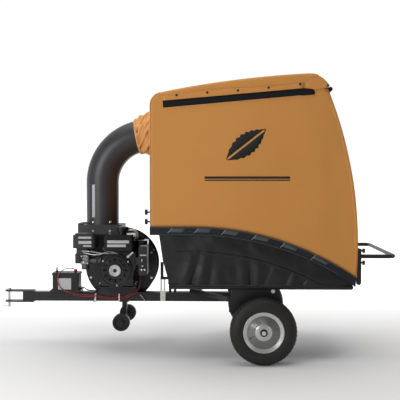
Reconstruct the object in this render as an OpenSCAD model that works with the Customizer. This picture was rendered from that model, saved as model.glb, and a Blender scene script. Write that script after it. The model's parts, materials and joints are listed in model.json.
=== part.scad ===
// Tow-behind leaf vacuum and mulcher: tongue and axle frame, engine, blower, discharge duct
// and a tilting fabric collector with a top-hinged rear door.
// X points from the hitch to the rear handle, Y across the machine, Z up from the ground.

/* [Overall] */
// Length from the hitch clip to the rear handle
machine_length = 2554; // [2500:1:2800]
// Distance between the two wheel centre planes
track = 1080; // [1040:1:1300]
// Distance of the axle behind the middle of the machine
axle_x = 456; // [380:1:520]

/* [Wheels] */
// Tyre diameter
tyre_d = 406; // [340:1:490]
// Tyre width
tyre_w = 120; // [90:1:144]
// Diameter of the wheel rim over its flanges
rim_d = 244; // [204:1:290]
// Axle bar diameter
axle_d = 25.4; // [20:0.1:31]
// Radial running clearance between a shaft and its bore
running_gap = 0.05; // [0.02:0.01:0.09]

/* [Frame] */
// Side of the square tongue beam
beam_size = 60; // [50:1:72]
// Wall of the tongue beam
beam_wall = 3; // [2:0.5:5]
// Height of the beam underside above the axle
beam_rise = 97; // [80:1:120]
// Front end of the beam, ahead of the middle of the machine
beam_front = 1131; // [1100:1:1180]
// Thickness of the side plates and of the hitch plates
plate_t = 10; // [6:1:12]
// Distance of the side plates' inner faces from the middle
side_plate_y = 414; // [400:1:418]
// Diameter of the hitch pin
hitch_pin_d = 16; // [12:0.5:19]
// Distance of the hitch pin from the front end of the machine
hitch_pin_back = 47; // [42:1:60]

/* [Jack] */
// Position of the jack ahead of the middle of the machine
jack_front = 447; // [430:1:460]
// Side of the square jack leg
jack_leg_w = 25.4; // [20:0.1:28]
// Diameter of a jack wheel
jack_wheel_d = 112; // [90:1:120]
// Distance between the jack wheels
jack_track = 370; // [300:1:420]
// Height of the jack wheels above the ground when raised
jack_lift = 131; // [120:1:150]

/* [Power unit] */
// Crankshaft position ahead of the middle of the machine
crank_front = 478; // [460:1:500]
// Height of the crankshaft above the beam
crank_rise = 172; // [165:1:185]
// Crankshaft diameter
shaft_d = 25; // [19:0.1:28]
// Height of the engine foot above the beam
engine_foot = 55; // [50:1:60]
// Radius of the round starter cover
recoil_r = 105; // [90:1:110]

/* [Blower] */
// Radius of the blower's clamped side plates
blower_plate_r = 243; // [236:1:250]
// Radius of the bolt circle in the side plates
blower_bolt_r = 224; // [222:1:226]
// Number of bolts round the blower
blower_bolts = 8; // [6:1:10]
// Outer radius of the blower's curved wall
scroll_r = 212; // [206:1:214]
// Depth of the blower between its plates
blower_depth = 200; // [165:1:220]
// Sheet thickness of blower and duct
sheet_t = 4; // [2:0.5:5]
// Radius of the impeller
impeller_r = 190; // [160:1:198]
// Number of impeller blades
impeller_blades = 6; // [4:1:8]
// Outside radius of the intake collar
intake_r = 101.6; // [90:0.1:115]
// Length of the intake collar
intake_len = 80; // [60:1:100]

/* [Duct] */
// Outside diameter of the discharge duct
duct_d = 220; // [200:1:220]
// Height of the duct's boxed foot
duct_foot_h = 66; // [50:1:80]
// Height of the straight duct above its foot
duct_straight = 286; // [260:1:300]
// Centreline radius of the elbow
elbow_r = 325; // [310:1:330]
// Angle that the elbow turns through
elbow_angle = 79; // [70:1:85]

/* [Collector] */
// Half width of the collector over its fabric
cover_half = 465; // [455:1:470]
// Front face of the cover, ahead of the middle of the machine
cover_front_x = 236; // [225:1:245]
// Rearmost point of the cover behind the middle of the machine
cover_rear_x = 1029; // [1000:1:1035]
// Height of the collector's base tubes above the beam
base_rise = 82; // [75:1:95]
// Height of the cover's lower edge above the base tubes
rail_rise = 384; // [340:1:420]
// Height of the top of the cover above the base tubes
cover_rise = 1326; // [1250:1:1400]
// Diameter of the base tubes
base_tube_d = 30; // [25:1:32]
// Height of the side rail band
rail_h = 50; // [40:1:60]
// Thickness of the fabric panels
fabric_t = 3; // [2:0.5:4]
// Height of the sleeve's centre below the top of the cover
sleeve_drop = 329; // [320:1:345]
// Radius of the sleeve where it meets the cover
sleeve_r = 145; // [135:1:160]

/* [Dump pivot and door] */
// Dump pivot position behind the middle of the machine
pivot_x = 520; // [500:1:535]
// Height of the dump pivot below the base tubes
pivot_drop = 12; // [10:1:16]
// Diameter of the pivot pins
pivot_pin_d = 16; // [12:1:18]
// Diameter of the push handle tube
handle_d = 25.4; // [22:0.1:30]
// Height of the push handle above the base tubes
handle_rise = 203; // [190:1:215]

/* [Hidden] */
$fn = 96;

// Clearance left between neighbouring bodies that only pass each other
part_gap = 0.5;
// How far a cutting shape runs past the face that it cuts
over = 1;

// Heights that stack up from the ground
axle_z = tyre_d / 2;
beam_z = axle_z + beam_rise;
beam_top = beam_z + beam_size;
beam_mid = beam_z + beam_size / 2;
foot_z = beam_top + engine_foot;
crank_z = beam_top + crank_rise;
base_z = beam_top + base_rise;
base_top = base_z + base_tube_d;
rail_z = base_z + rail_rise;
roof_z = base_z + cover_rise;
pivot_z = base_z - pivot_drop;
handle_z = base_z + handle_rise;

// Stations along the machine
front_x = -machine_length / 2;
rear_x = machine_length / 2;
beam_x = -beam_front;
carrier_x = axle_x - beam_size / 2;
pin_x = front_x + hitch_pin_back;
jack_x = -jack_front;
crank_x = -crank_front;
cover_x = -cover_front_x;
wheel_y = track / 2;

// Blower and duct
back_y = 56;
scroll_y = back_y + sheet_t;
cover_y = scroll_y + blower_depth;
duct_y = scroll_y + blower_depth / 2;
neck_w = duct_d + sheet_t;
duct_x = crank_x - scroll_r + duct_d / 2 - 37;
neck_top = crank_z + 208;
flange_half = 151;
duct_foot_top = neck_top + duct_foot_h;
duct_top = duct_foot_top + duct_straight;
elbow_end_x = duct_x + elbow_r * (1 - cos(elbow_angle));
elbow_end_z = duct_top + elbow_r * sin(elbow_angle);

// Collector outline
rail_arc_x = 30;
rail_arc_r = 1760;
rail_arc_z = rail_z - rail_arc_r;
rear_arc_r = 2543;
rear_arc_x = cover_rear_x - rear_arc_r;
rear_arc_z = base_z + 268;
roof_arc_r = 5880;
roof_arc_x = 1009;
front_corner_r = 75;
rear_corner_r = 55;
roof_break = [788, roof_z - 8];
rear_break = [846, roof_z - 90];
hinge_x = rear_break[0] + 18;
hinge_z = rear_break[1] - 12;
tub_half = cover_half - 15;
tub_front = [[-179, rail_z - rail_h + 1], [-157, base_z + 178], [-118, base_top + 6]];

// Wheel and jack sizes that follow the driving sizes
hub_r = 21;
hub_half = 55;
jack_axle_z = jack_lift + jack_wheel_d / 2;
jack_axle_r = 6;
jack_wheel_w = 38;
leg_top = beam_top + 38;

// Fasteners
bolt_r = 4;
bolt_head_r = 7.5;
bolt_head_h = 5;
latch_bolt_r = 6;

// Colours
satin_black = [0.09, 0.09, 0.10];
engine_black = [0.06, 0.06, 0.07];
plastic_black = [0.13, 0.13, 0.14];
duct_grey = [0.29, 0.29, 0.31];
zinc = [0.72, 0.73, 0.74];
tan_fabric = [0.75, 0.51, 0.26];
vinyl_black = [0.17, 0.17, 0.18];
slate = [0.27, 0.31, 0.35];

// Points of an arc in the side view, from one angle to the other
function arc(cx, cz, r, from, to, steps) =
    [for (i = [0:steps]) let (a = from + (to - from) * i / steps)
        [cx + r * cos(a), cz + r * sin(a)]];

// A corner of an outline, rounded to a radius
function rounded(a, b, c, r, steps = 8) =
    let (u = (a - b) / norm(a - b), v = (c - b) / norm(c - b),
         half = acos(u * v) / 2, m = (u + v) / norm(u + v),
         centre = b + m * r / sin(half),
         start = b + u * r / tan(half) - centre, end = b + v * r / tan(half) - centre,
         a0 = atan2(start[1], start[0]), raw = atan2(end[1], end[0]) - a0,
         turn = raw > 180 ? raw - 360 : raw < -180 ? raw + 360 : raw)
    [for (i = [0:steps]) centre + r * [cos(a0 + turn * i / steps), sin(a0 + turn * i / steps)]];

// Height of the rail arc, of the roof and the rear edge of the cover
function rail_height(x, r) = x < rail_arc_x ? rail_arc_z + r
    : rail_arc_z + sqrt(r * r - (x - rail_arc_x) * (x - rail_arc_x));
function roof_height(x) = roof_z - (x - roof_arc_x) * (x - roof_arc_x) / (2 * roof_arc_r);
function rear_edge(z) = rear_arc_x + sqrt(rear_arc_r * rear_arc_r - (z - rear_arc_z) * (z - rear_arc_z));

// Outline pieces of the cover, each a list of points in X and Z
roof_line = concat(
    rounded([cover_x, rail_z], [cover_x, roof_height(cover_x)], [-60, roof_height(-60)],
        front_corner_r),
    [for (x = [-60:88:732]) [x, roof_height(x)]],
    rounded([732, roof_height(732)], roof_break, rear_break, rear_corner_r, 6));
rear_foot_z = base_z + 78;
rear_line = [for (i = [0:14]) let (z = rear_break[1] - 24 + (rear_foot_z - rear_break[1] + 24) * i / 14)
    [rear_edge(z), z]];
rail_line = [for (i = [0:16]) let (x = rear_edge(rear_foot_z) + (rail_arc_x - rear_edge(rear_foot_z)) * i / 16)
    [x, rail_height(x, rail_arc_r)]];

// Direction across a line of points, and a strip of even thickness on its right-hand side
function across(line, i) =
    let (d = line[min(i + 1, len(line) - 1)] - line[max(i - 1, 0)]) [d[1], -d[0]] / norm(d);
function strip(line, from, to) = concat(
    [for (i = [0:len(line) - 1]) line[i] + from * across(line, i)],
    [for (i = [len(line) - 1:-1:0]) line[i] + to * across(line, i)]);

// A round rod along a route, with its sections square to the route
function unit(v) = v / norm(v);
module sweep(route, r, up = [0, 1, 0], sides = 12) {
    last = len(route) - 1;
    rings = [for (i = [0:last]) let (t = unit(route[min(i + 1, last)] - route[max(i - 1, 0)]),
        n = unit(cross(up, t)), b = cross(t, n))
        [for (j = [0:sides - 1]) route[i] + r * (cos(360 * j / sides) * n + sin(360 * j / sides) * b)]];
    polyhedron(points = [for (ring = rings) each ring], faces = concat(
        [[for (j = [0:sides - 1]) j]], [[for (j = [sides - 1:-1:0]) last * sides + j]],
        [for (i = [0:last - 1]) for (j = [0:sides - 1]) let (k = (j + 1) % sides)
            [i * sides + j, (i + 1) * sides + j, (i + 1) * sides + k, i * sides + k]]));
}

// Helpers: a side-view outline given thickness in Y, a rod along Y, a box from two corners
module side_plate(y0, y1) {
    translate([0, y1, 0]) rotate([90, 0, 0]) linear_extrude(y1 - y0) children();
}
module y_rod(x, z, r, y0, y1) {
    translate([x, y1, z]) rotate([90, 0, 0]) cylinder(r = r, h = y1 - y0);
}
module z_rod(x, y, r, z0, z1) {
    translate([x, y, z0]) cylinder(r = r, h = z1 - z0);
}
module box(low, high) {
    translate(low) cube(high - low);
}
module round_box(low, high, r) {
    // A box whose four upright edges are rounded
    size = high - low;
    translate([0, 0, low[2]]) linear_extrude(size[2]) rounded_rect([low[0], low[1]], [high[0], high[1]], r);
}
module rounded_rect(low, high, r) {
    polygon(concat(
        arc(high[0] - r, high[1] - r, r, 0, 90, 6), arc(low[0] + r, high[1] - r, r, 90, 180, 6),
        arc(low[0] + r, low[1] + r, r, 180, 270, 6), arc(high[0] - r, low[1] + r, r, 270, 360, 6)));
}
module both_sides() {
    children();
    mirror([0, 1, 0]) children();
}

// ---------------------------------------------------------------- frame

module tongue_beam() color(satin_black) difference() {
    box([beam_x, -beam_size / 2, beam_z], [carrier_x, beam_size / 2, beam_top]);
    box([beam_x - over, -beam_size / 2 + beam_wall, beam_z + beam_wall],
        [carrier_x + over, beam_size / 2 - beam_wall, beam_top - beam_wall]);
    socket_half = jack_socket_half + 0.2;
    box([jack_x - socket_half, -socket_half, beam_z - over],
        [jack_x + socket_half, socket_half, beam_top + over]);
    for (x = beam_bolt_x) y_rod(x, beam_mid, bolt_r + 1, -beam_size, beam_size);
    y_rod(latch_x, latch_z, latch_bolt_r, -beam_size, beam_size);
}

clevis_back = 1058;
clevis_nose = 21;
module hitch_clevis() color(satin_black) difference() {
    for (z = [beam_z - plate_t, beam_top])
        translate([0, 0, z]) linear_extrude(plate_t) polygon(concat(
            [[-clevis_back, -beam_size / 2], [-clevis_back, beam_size / 2], [beam_x - 20, beam_size / 2]],
            arc(pin_x, 0, clevis_nose + 5, 90, 270, 10), [[beam_x - 20, -beam_size / 2]]));
    z_rod(pin_x, 0, hitch_pin_d / 2 + running_gap, beam_z - plate_t - over, beam_top + plate_t + over);
}

pin_low = beam_z - plate_t - 36;
clip_z = pin_low + 8.5;
clip_r = 1.5;
module hitch_pin() color(zinc) difference() {
    union() {
        z_rod(pin_x, 0, hitch_pin_d / 2, pin_low, beam_top + plate_t + 4);
        z_rod(pin_x, 0, hitch_pin_d / 2 + 6, beam_top + plate_t + part_gap, beam_top + plate_t + 11);
    }
    translate([pin_x - 20, 0, clip_z]) rotate([0, 90, 0]) cylinder(r = clip_r + 0.3, h = 40);
}

module hitch_clip() color(zinc) {
    loop_r = 11;
    loop_x = front_x + loop_r + clip_r;
    back_x = pin_x + 20;
    outer_y = hitch_pin_d / 2 + clip_r + 0.3;
    sweep(concat([[back_x, 0, clip_z], [pin_x, 0, clip_z], [loop_x + 16, 0, clip_z], [loop_x + 9, -4, clip_z]],
        [for (a = [-45:-30:-345]) [loop_x + loop_r * cos(a), loop_r * sin(a), clip_z]],
        [[pin_x - 10, outer_y - 1, clip_z], [pin_x, outer_y + 1, clip_z], [pin_x + 9, outer_y - 3, clip_z],
         [back_x - 4, outer_y, clip_z]]), clip_r, up = [0, 0, 1], sides = 8);
}

module carrier_plate_outline() difference() {
    polygon([[axle_x - 188, base_z - 3], [axle_x + 101, base_z - 3], [axle_x + 125, beam_top - 16],
        [axle_x + 48, axle_z - 22], [axle_x + 26, axle_z - 32], [axle_x - 26, axle_z - 32],
        [axle_x - 48, axle_z - 22], [axle_x - 206, beam_z], [axle_x - 206, beam_top + 14]]);
    translate([axle_x, axle_z]) circle(r = axle_d / 2);
    translate([pivot_x, pivot_z]) circle(r = pivot_pin_d / 2);
}
module axle_carrier() color(satin_black) {
    difference() {
        box([carrier_x, -side_plate_y, beam_z], [carrier_x + beam_size, side_plate_y, beam_top]);
        box([carrier_x + beam_wall, -side_plate_y - over, beam_z + beam_wall],
            [carrier_x + beam_size - beam_wall, side_plate_y + over, beam_top - beam_wall]);
    }
    both_sides() side_plate(side_plate_y, side_plate_y + plate_t) carrier_plate_outline();
}

// The dump pivot pins stand out of the side plates through the collector's ears
ear_w = 12;
ear_y = side_plate_y + plate_t + 2;
module pivot_pins() color(zinc) both_sides() {
    y_rod(pivot_x, pivot_z, pivot_pin_d / 2, side_plate_y, ear_y + ear_w + 7);
    y_rod(pivot_x, pivot_z, pivot_pin_d / 2 + 4, side_plate_y - 6, side_plate_y);
    y_rod(pivot_x, pivot_z, pivot_pin_d / 2 + 4, ear_y + ear_w + part_gap, ear_y + ear_w + 4);
}

module axle() color(zinc) {
    y_rod(axle_x, axle_z, axle_d / 2, -axle_end, axle_end);
    both_sides() y_rod(axle_x, axle_z, axle_d / 2 + 7, wheel_y - hub_half - 14, wheel_y - hub_half - part_gap);
}
axle_end = wheel_y + tyre_w / 2 + 10;

module wheel_retainers() color(zinc) both_sides() difference() {
    y_rod(axle_x, axle_z, hub_r - 1, wheel_y + hub_half + part_gap, wheel_y + hub_half + 7);
    y_rod(axle_x, axle_z, axle_d / 2, wheel_y, axle_end + over);
}

brace_w = 25;
brace_run = 257;
module frame_braces() color(satin_black) both_sides() intersection() {
    translate([0, 0, beam_top]) rotate([0, 0, atan2(side_plate_y, brace_run)])
        translate([0, -brace_w / 2, 0]) cube([620, brace_w, brace_w]);
    box([-20, part_gap, beam_top], [axle_x - 150, side_plate_y, beam_top + brace_w]);
}

module rest_bumpers() color(plastic_black) for (x = [-141, -108]) {
    z_rod(x, 0, 9, beam_top, beam_top + 50);
    z_rod(x, 0, 14, beam_top + 50, base_z - part_gap);
}

platform_x0 = -600;
platform_x1 = -366;
platform_t = 8;
module engine_platform() color(satin_black) {
    box([platform_x0, -175, foot_z - platform_t], [platform_x1, 40, foot_z]);
    both_sides() box([platform_x0, beam_size / 2 - 6, beam_top], [platform_x1, beam_size / 2, foot_z - platform_t]);
    both_sides() box([platform_x0 - 20, beam_size / 2, beam_z + 10], [platform_x0 + 60, beam_size / 2 + 4, beam_top + 20]);
}

battery_x0 = -925;
battery_x1 = -749;
battery_half = 55;
battery_h = 128;
tray_t = 3;
module battery_tray() color(satin_black) difference() {
    box([battery_x0 - 14, -battery_half - 7, beam_top], [battery_x1 + 12, battery_half + 7, beam_top + 16]);
    box([battery_x0 - 14 + tray_t, -battery_half - 7 + tray_t, beam_top + tray_t],
        [battery_x1 + 12 - tray_t, battery_half + 7 - tray_t, beam_top + 20]);
}
post_x = [battery_x0 + 26, battery_x1 - 26];
post_y = -22;
battery_top = beam_top + tray_t + battery_h;
module battery() color(plastic_black) {
    round_box([battery_x0, -battery_half, beam_top + tray_t], [battery_x1, battery_half, battery_top - 16], 5);
    round_box([battery_x0 - 3, -battery_half - 2, battery_top - 16], [battery_x1 + 3, battery_half + 2, battery_top], 6);
    for (x = post_x) z_rod(x, post_y, 8, battery_top, battery_top + 12);
}

// Routes of the two battery leads; both are held all the way
lead_r = 3.5;
red_route = [[-300, -170, 496], [-304, -130, 492], [-318, -80, 486], [-336, -50, 468], [-340, -42, 430],
    [-355, -40, 384], [-402, -40, 348], [-470, -40, 327], [-536, -42, 326], [-602, -50, 335], [-635, -54, 341],
    [-726, -54, 345], [-759, -62, 350], [-786, -68, 357], [-836, -70, 374], [-870, -70, 396], [-890, -68, 430],
    [-892, -66, 458], [-880, -64, 490], [-852, -50, 513], [-816, -36, 520], [-786, -26, 515], [-775, -22, 507]];
black_route = [[-899, -22, 507], [-904, 0, 516], [-916, 46, 513], [-922, 66, 488], [-923, 68, 440],
    [-904, 68, 396], [-854, 68, 384], [-794, 68, 382], [-740, 68, 378], [-726, 60, 373], [-712, 36, 368], [-684, 8, 366], [-606, 0, 366]];
module battery_leads() {
    rise = beam_top - 360;
    color("firebrick") translate([0, 0, rise]) sweep(red_route, lead_r, sides = 8);
    color(plastic_black) translate([0, 0, rise]) sweep(black_route, lead_r, up = [0, 0.4, 1], sides = 8);
}

beam_bolt_x = [-638, -325];
latch_x = -187;
latch_z = beam_z + 18;
latch_t = 4;
module beam_bolts() color(zinc) {
    for (x = beam_bolt_x) {
        y_rod(x, beam_mid, bolt_r + 1, -beam_size / 2 - 12, beam_size / 2 + 8);
        y_rod(x, beam_mid, bolt_head_r + 2, beam_size / 2, beam_size / 2 + 6);
        lean = x < jack_x ? 18 : -38;
        translate([x, -beam_size / 2 - 12, beam_mid]) rotate([0, lean, 0]) z_rod(0, 0, bolt_r, -38, 22);
    }
    y_rod(latch_x, latch_z, latch_bolt_r, -beam_size / 2 - 14, beam_size / 2 + 8);
    y_rod(latch_x, latch_z, latch_bolt_r + 5, -beam_size / 2 - 18, -beam_size / 2 - 13);
}

latch_y = -beam_size / 2 - 10;
module dump_latch() color(zinc) side_plate(latch_y - latch_t / 2, latch_y + latch_t / 2) difference() {
    translate([latch_x, beam_z + 2]) rounded_rect([-17, 0], [17, 162], 4);
    translate([latch_x, latch_z]) circle(r = latch_bolt_r + running_gap);
    translate([latch_x, beam_z + 70]) rounded_rect([-4.5, 0], [4.5, 80], 4);
}

// ---------------------------------------------------------------- jack

jack_socket_half = jack_leg_w / 2 + part_gap + 3;
module jack_socket() color(satin_black) difference() {
    union() {
        box([jack_x - jack_socket_half, -jack_socket_half, beam_z - 45],
            [jack_x + jack_socket_half, jack_socket_half, beam_top + 10]);
        both_sides() box([jack_x - 30, jack_socket_half, beam_z - 6], [jack_x + 30, beam_size / 2, beam_z]);
    }
    inner = jack_leg_w / 2 + part_gap;
    box([jack_x - inner, -inner, beam_z - 50], [jack_x + inner, inner, beam_top + 20]);
}
module jack_leg() color(satin_black) {
    difference() {
        box([jack_x - jack_leg_w / 2, -jack_leg_w / 2, jack_axle_z - 16], [jack_x + jack_leg_w / 2, jack_leg_w / 2, leg_top]);
        wall = jack_leg_w / 2 - 2.5;
        box([jack_x - wall, -wall, jack_axle_z + 12], [jack_x + wall, wall, leg_top + over]);
    }
    y_rod(jack_x, jack_axle_z, jack_axle_r, -jack_track / 2 - jack_wheel_w / 2 - 8, jack_track / 2 + jack_wheel_w / 2 + 8);
    both_sides() {
        y_rod(jack_x, jack_axle_z, 10, jack_leg_w / 2, jack_track / 2 - jack_wheel_w / 2 - part_gap);
        y_rod(jack_x, jack_axle_z, 10, jack_track / 2 + jack_wheel_w / 2 + part_gap, jack_track / 2 + jack_wheel_w / 2 + 6);
    }
}
module jack_wheel() {
    side_plate(-jack_wheel_w / 2, jack_wheel_w / 2) difference() {
        circle(r = jack_wheel_d / 2);
        circle(r = jack_wheel_d / 2 - 12);
    }
    side_plate(-jack_wheel_w / 2, jack_wheel_w / 2) difference() {
        circle(r = 16);
        circle(r = jack_axle_r + running_gap);
    }
    difference() {
        y_rod(0, 0, jack_wheel_d / 2 - 11, -7, 7);
        y_rod(0, 0, 15, -8, 8);
        for (i = [0:5], s = [-1, 1]) rotate([0, 60 * i, 0]) translate([jack_wheel_d / 2 - 27, 0, 0])
            y_rod(0, 0, 8, s < 0 ? -8 : 2.5, s < 0 ? -2.5 : 8);
    }
}
module jack_wheel_left() color(plastic_black) translate([jack_x, -jack_track / 2, jack_axle_z]) jack_wheel();
module jack_wheel_right() color(plastic_black) translate([jack_x, jack_track / 2, jack_axle_z]) jack_wheel();

// ---------------------------------------------------------------- engine

case_x0 = crank_x - 108;
case_x1 = crank_x + 103;
case_front = -150;
case_back = 20;
case_top = foot_z + 205;
case_wall = 9;
module case_outline() polygon([[case_x0, foot_z], [case_x1, foot_z], [case_x1, crank_z + 20],
    [case_x1 - 30, case_top], [case_x0 + 40, case_top], [case_x0, crank_z + 40]]);
module crankcase() color(engine_black) difference() {
    union() {
        side_plate(case_front, case_back) case_outline();
        y_rod(crank_x, crank_z, 72, case_back, back_y);
        both_sides_of_case() box([case_x0 - 18, case_front + 20, foot_z], [case_x0, case_back - 20, foot_z + 14]);
    }
    side_plate(case_front + case_wall, case_back - case_wall) offset(delta = -case_wall) case_outline();
    y_rod(crank_x, crank_z, shaft_d / 2 + running_gap, case_front - over, back_y + over);
}
module both_sides_of_case() {
    children();
    translate([crank_x, 0, 0]) mirror([1, 0, 0]) translate([-crank_x + 5, 0, 0]) children();
}

head_x = case_x1;
head_z = crank_z + 60;
module cylinder_head() color(engine_black) {
    box([head_x, case_front + 20, head_z - 56], [head_x + 22, case_back - 25, head_z + 48]);
    for (i = [0:6]) box([head_x, case_front + 14, head_z - 55 + i * 17], [head_x + 34, case_back - 18, head_z - 50 + i * 17]);
}
plug_y = -70;
module spark_plug() color(zinc) translate([head_x + 34, plug_y, head_z + 3.5]) rotate([0, 90, 0]) {
    cylinder(r = 8, h = 4);
    cylinder(r = 5, h = 16);
}

shroud_y0 = -206;
shroud_r = 116;
module fan_shroud() color(engine_black) difference() {
    side_plate(shroud_y0, case_front) union() {
        translate([crank_x, crank_z]) circle(r = shroud_r);
        polygon([[crank_x - 100, crank_z + 40], [crank_x + 20, crank_z + 112], [case_x1 + 24, crank_z + 112],
            [case_x1 + 24, crank_z + 10], [crank_x + 80, crank_z - 60]]);
    }
    y_rod(crank_x, crank_z, shroud_r - 8, shroud_y0 + 6, case_front + over);
    y_rod(crank_x, crank_z, 60, shroud_y0 - over, case_front);
}

recoil_y0 = -258;
module recoil_cover() color(engine_black) difference() {
    union() {
        y_rod(crank_x, crank_z, recoil_r, shroud_y0 - 26, shroud_y0);
        y_rod(crank_x, crank_z, recoil_r - 14, shroud_y0 - 40, shroud_y0 - 26);
        y_rod(crank_x, crank_z, 42, recoil_y0, shroud_y0 - 40);
    }
    y_rod(crank_x, crank_z, recoil_r - 20, shroud_y0 - 34, shroud_y0 + over);
    for (i = [0:11]) translate([crank_x, 0, crank_z]) rotate([0, 30 * i, 0])
        box([56, shroud_y0 - 50, -5], [80, shroud_y0 - 20, 5]);
}

// Starter grip, rope and pull direction, tilted up towards the hitch
pull_tilt = 15;
grip_y = shroud_y0 - 13;
grip_start = recoil_r + 14;
module along_pull() translate([crank_x, grip_y, crank_z + 34]) rotate([0, pull_tilt, 0]) children();
module starter_rope() color(zinc) along_pull()
    translate([-grip_start, 0, 0]) rotate([0, 90, 0]) cylinder(r = 2, h = 18);
module starter_grip() color(plastic_black) along_pull()
    hull() for (z = [-24, 24]) translate([-grip_start - 9, 0, z]) rotate([0, 90, 0]) cylinder(r = 9, h = 9, $fn = 32);

tank_x0 = -564;
tank_x1 = -360;
tank_y0 = -215;
tank_y1 = -22;
tank_z0 = foot_z + 235;
tank_h = 108;
cap_x = -448;
cap_y = -118;
module fuel_tank() color(engine_black) difference() {
    union() {
        round_box([tank_x0, tank_y0, tank_z0 + 10], [tank_x1, tank_y1, tank_z0 + tank_h - 14], 26);
        round_box([tank_x0 + 7, tank_y0 + 7, tank_z0], [tank_x1 - 7, tank_y1 - 7, tank_z0 + tank_h], 22);
        z_rod(cap_x, cap_y, 24, tank_z0 + tank_h, tank_z0 + tank_h + 12);
        box([tank_x0 + 40, case_front + 20, case_top], [tank_x1 - 60, case_back - 60, tank_z0]);
    }
    round_box([tank_x0 + 11, tank_y0 + 11, tank_z0 + 4], [tank_x1 - 11, tank_y1 - 11, tank_z0 + tank_h - 4], 18);
    z_rod(cap_x, cap_y, 20, tank_z0 + 20, tank_z0 + tank_h + 20);
}
module fuel_cap() color(plastic_black) difference() {
    union() {
        z_rod(cap_x, cap_y, 40, tank_z0 + tank_h + 16, tank_z0 + tank_h + 46);
        z_rod(cap_x, cap_y, 30, tank_z0 + tank_h + part_gap, tank_z0 + tank_h + 16);
        z_rod(cap_x, cap_y, 19, tank_z0 + tank_h - 8, tank_z0 + tank_h + 16);
        for (i = [0:7]) translate([cap_x, cap_y, tank_z0 + tank_h + 16]) rotate([0, 0, 45 * i])
            box([38, -5, 0], [43, 5, 26]);
    }
    difference() {
        z_rod(cap_x, cap_y, 24 + part_gap, tank_z0 + tank_h - over, tank_z0 + tank_h + 12.5);
        z_rod(cap_x, cap_y, 19, tank_z0 + tank_h - 9, tank_z0 + tank_h + 14);
    }
}

cleaner_x0 = -762;
cleaner_x1 = -612;
cleaner_z0 = foot_z + 254;
module air_cleaner() color(plastic_black) {
    round_box([cleaner_x0, -204, cleaner_z0], [cleaner_x1, -60, cleaner_z0 + 84], 24);
    round_box([cleaner_x0 + 12, -192, cleaner_z0 + 84], [cleaner_x1 - 12, -72, cleaner_z0 + 94], 16);
    round_box([-742, -180, cleaner_z0 - 46], [-664, -86, cleaner_z0], 12);
}
carb_x0 = -716;
carb_x1 = -661;
carb_z0 = foot_z + 111;
module carburettor() color(zinc) {
    box([carb_x0, -170, carb_z0 + 34], [carb_x1, -96, cleaner_z0 - 46]);
    z_rod((carb_x0 + carb_x1) / 2, -133, 26, carb_z0, carb_z0 + 34);
    translate([carb_x1, -133, carb_z0 + 60]) rotate([0, 90, 0]) cylinder(r = 20, h = case_x0 - carb_x1);
}
choke_pos = [carb_x0 + 7, -172, carb_z0 + 62];
module choke_lever() color(plastic_black) translate(choke_pos) {
    y_rod(0, 0, 7, -10, 1.5);
    box([-4, -10, 0], [4, -5, 32]);
}
throttle_pos = [-400, shroud_y0 - 3, crank_z + 84];
module throttle_lever() color(zinc) translate(throttle_pos) {
    y_rod(0, 0, 8, -6, 2.5);
    translate([0, -6, 0]) rotate([0, 48, 0]) box([-5, 0, 0], [5, 3, 46]);
}

module muffler() color(engine_black) {
    round_box([-357, -80, crank_z + 122], [-288, 44, crank_z + 178], 16);
    box([-354, -60, crank_z + 113], [-344, 0, crank_z + 124]);
}

box_x0 = -327;
box_x1 = -272;
box_y0 = -250;
box_y1 = -150;
box_z0 = foot_z + 85;
module control_box() color(plastic_black) {
    side_plate(box_y0, box_y1) translate([0, box_z0]) rounded_rect([box_x0, 0], [box_x1, 188], 12);
    box([case_x1 + 24.5, -200, box_z0 + 60], [box_x0, -190, box_z0 + 110]);
    y_rod(key_pos[0], key_pos[2], 11, box_y0 - 5, box_y0);
    for (z = [38, 62]) for (x = [-306, -286]) y_rod(x, box_z0 + z, 6, box_y0 - 8, box_y0);
}
key_pos = [-304, box_y0 - 5, box_z0 + 100];
module ignition_key() color(zinc) translate(key_pos) {
    y_rod(0, 0, 5, -6 - part_gap, -part_gap);
    box([-2, -26, -9], [2, -6, 9]);
}

module crankshaft() color(zinc) y_rod(crank_x, crank_z, shaft_d / 2, fly_y0 - 6, scroll_y + 70);
fly_y0 = shroud_y0 + 10;
module flywheel() color(zinc) difference() {
    union() {
        y_rod(crank_x, crank_z, 92, fly_y0 + 14, case_front - 8);
        for (i = [0:15]) translate([crank_x, 0, crank_z]) rotate([0, 22.5 * i, 0]) box([62, fly_y0, -2], [90, fly_y0 + 15, 2]);
    }
    y_rod(crank_x, crank_z, shaft_d / 2, fly_y0 - over, case_front);
}

// ---------------------------------------------------------------- blower and duct

impeller_y = scroll_y + 10;
module impeller() color(satin_black) {
    difference() {
        union() {
            y_rod(crank_x, crank_z, impeller_r, impeller_y, impeller_y + 5);
            y_rod(crank_x, crank_z, 34, impeller_y, impeller_y + 62);
        }
        y_rod(crank_x, crank_z, shaft_d / 2, impeller_y - over, impeller_y + 63);
    }
    for (i = [0:impeller_blades - 1]) translate([crank_x, 0, crank_z]) rotate([0, 360 / impeller_blades * i, 0])
        box([33, impeller_y + 5, -3], [impeller_r - 2, impeller_y + 105, 3]);
}

neck_x0 = duct_x - neck_w / 2 - sheet_t / 2;
neck_x1 = duct_x + neck_w / 2 + sheet_t / 2;
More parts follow.
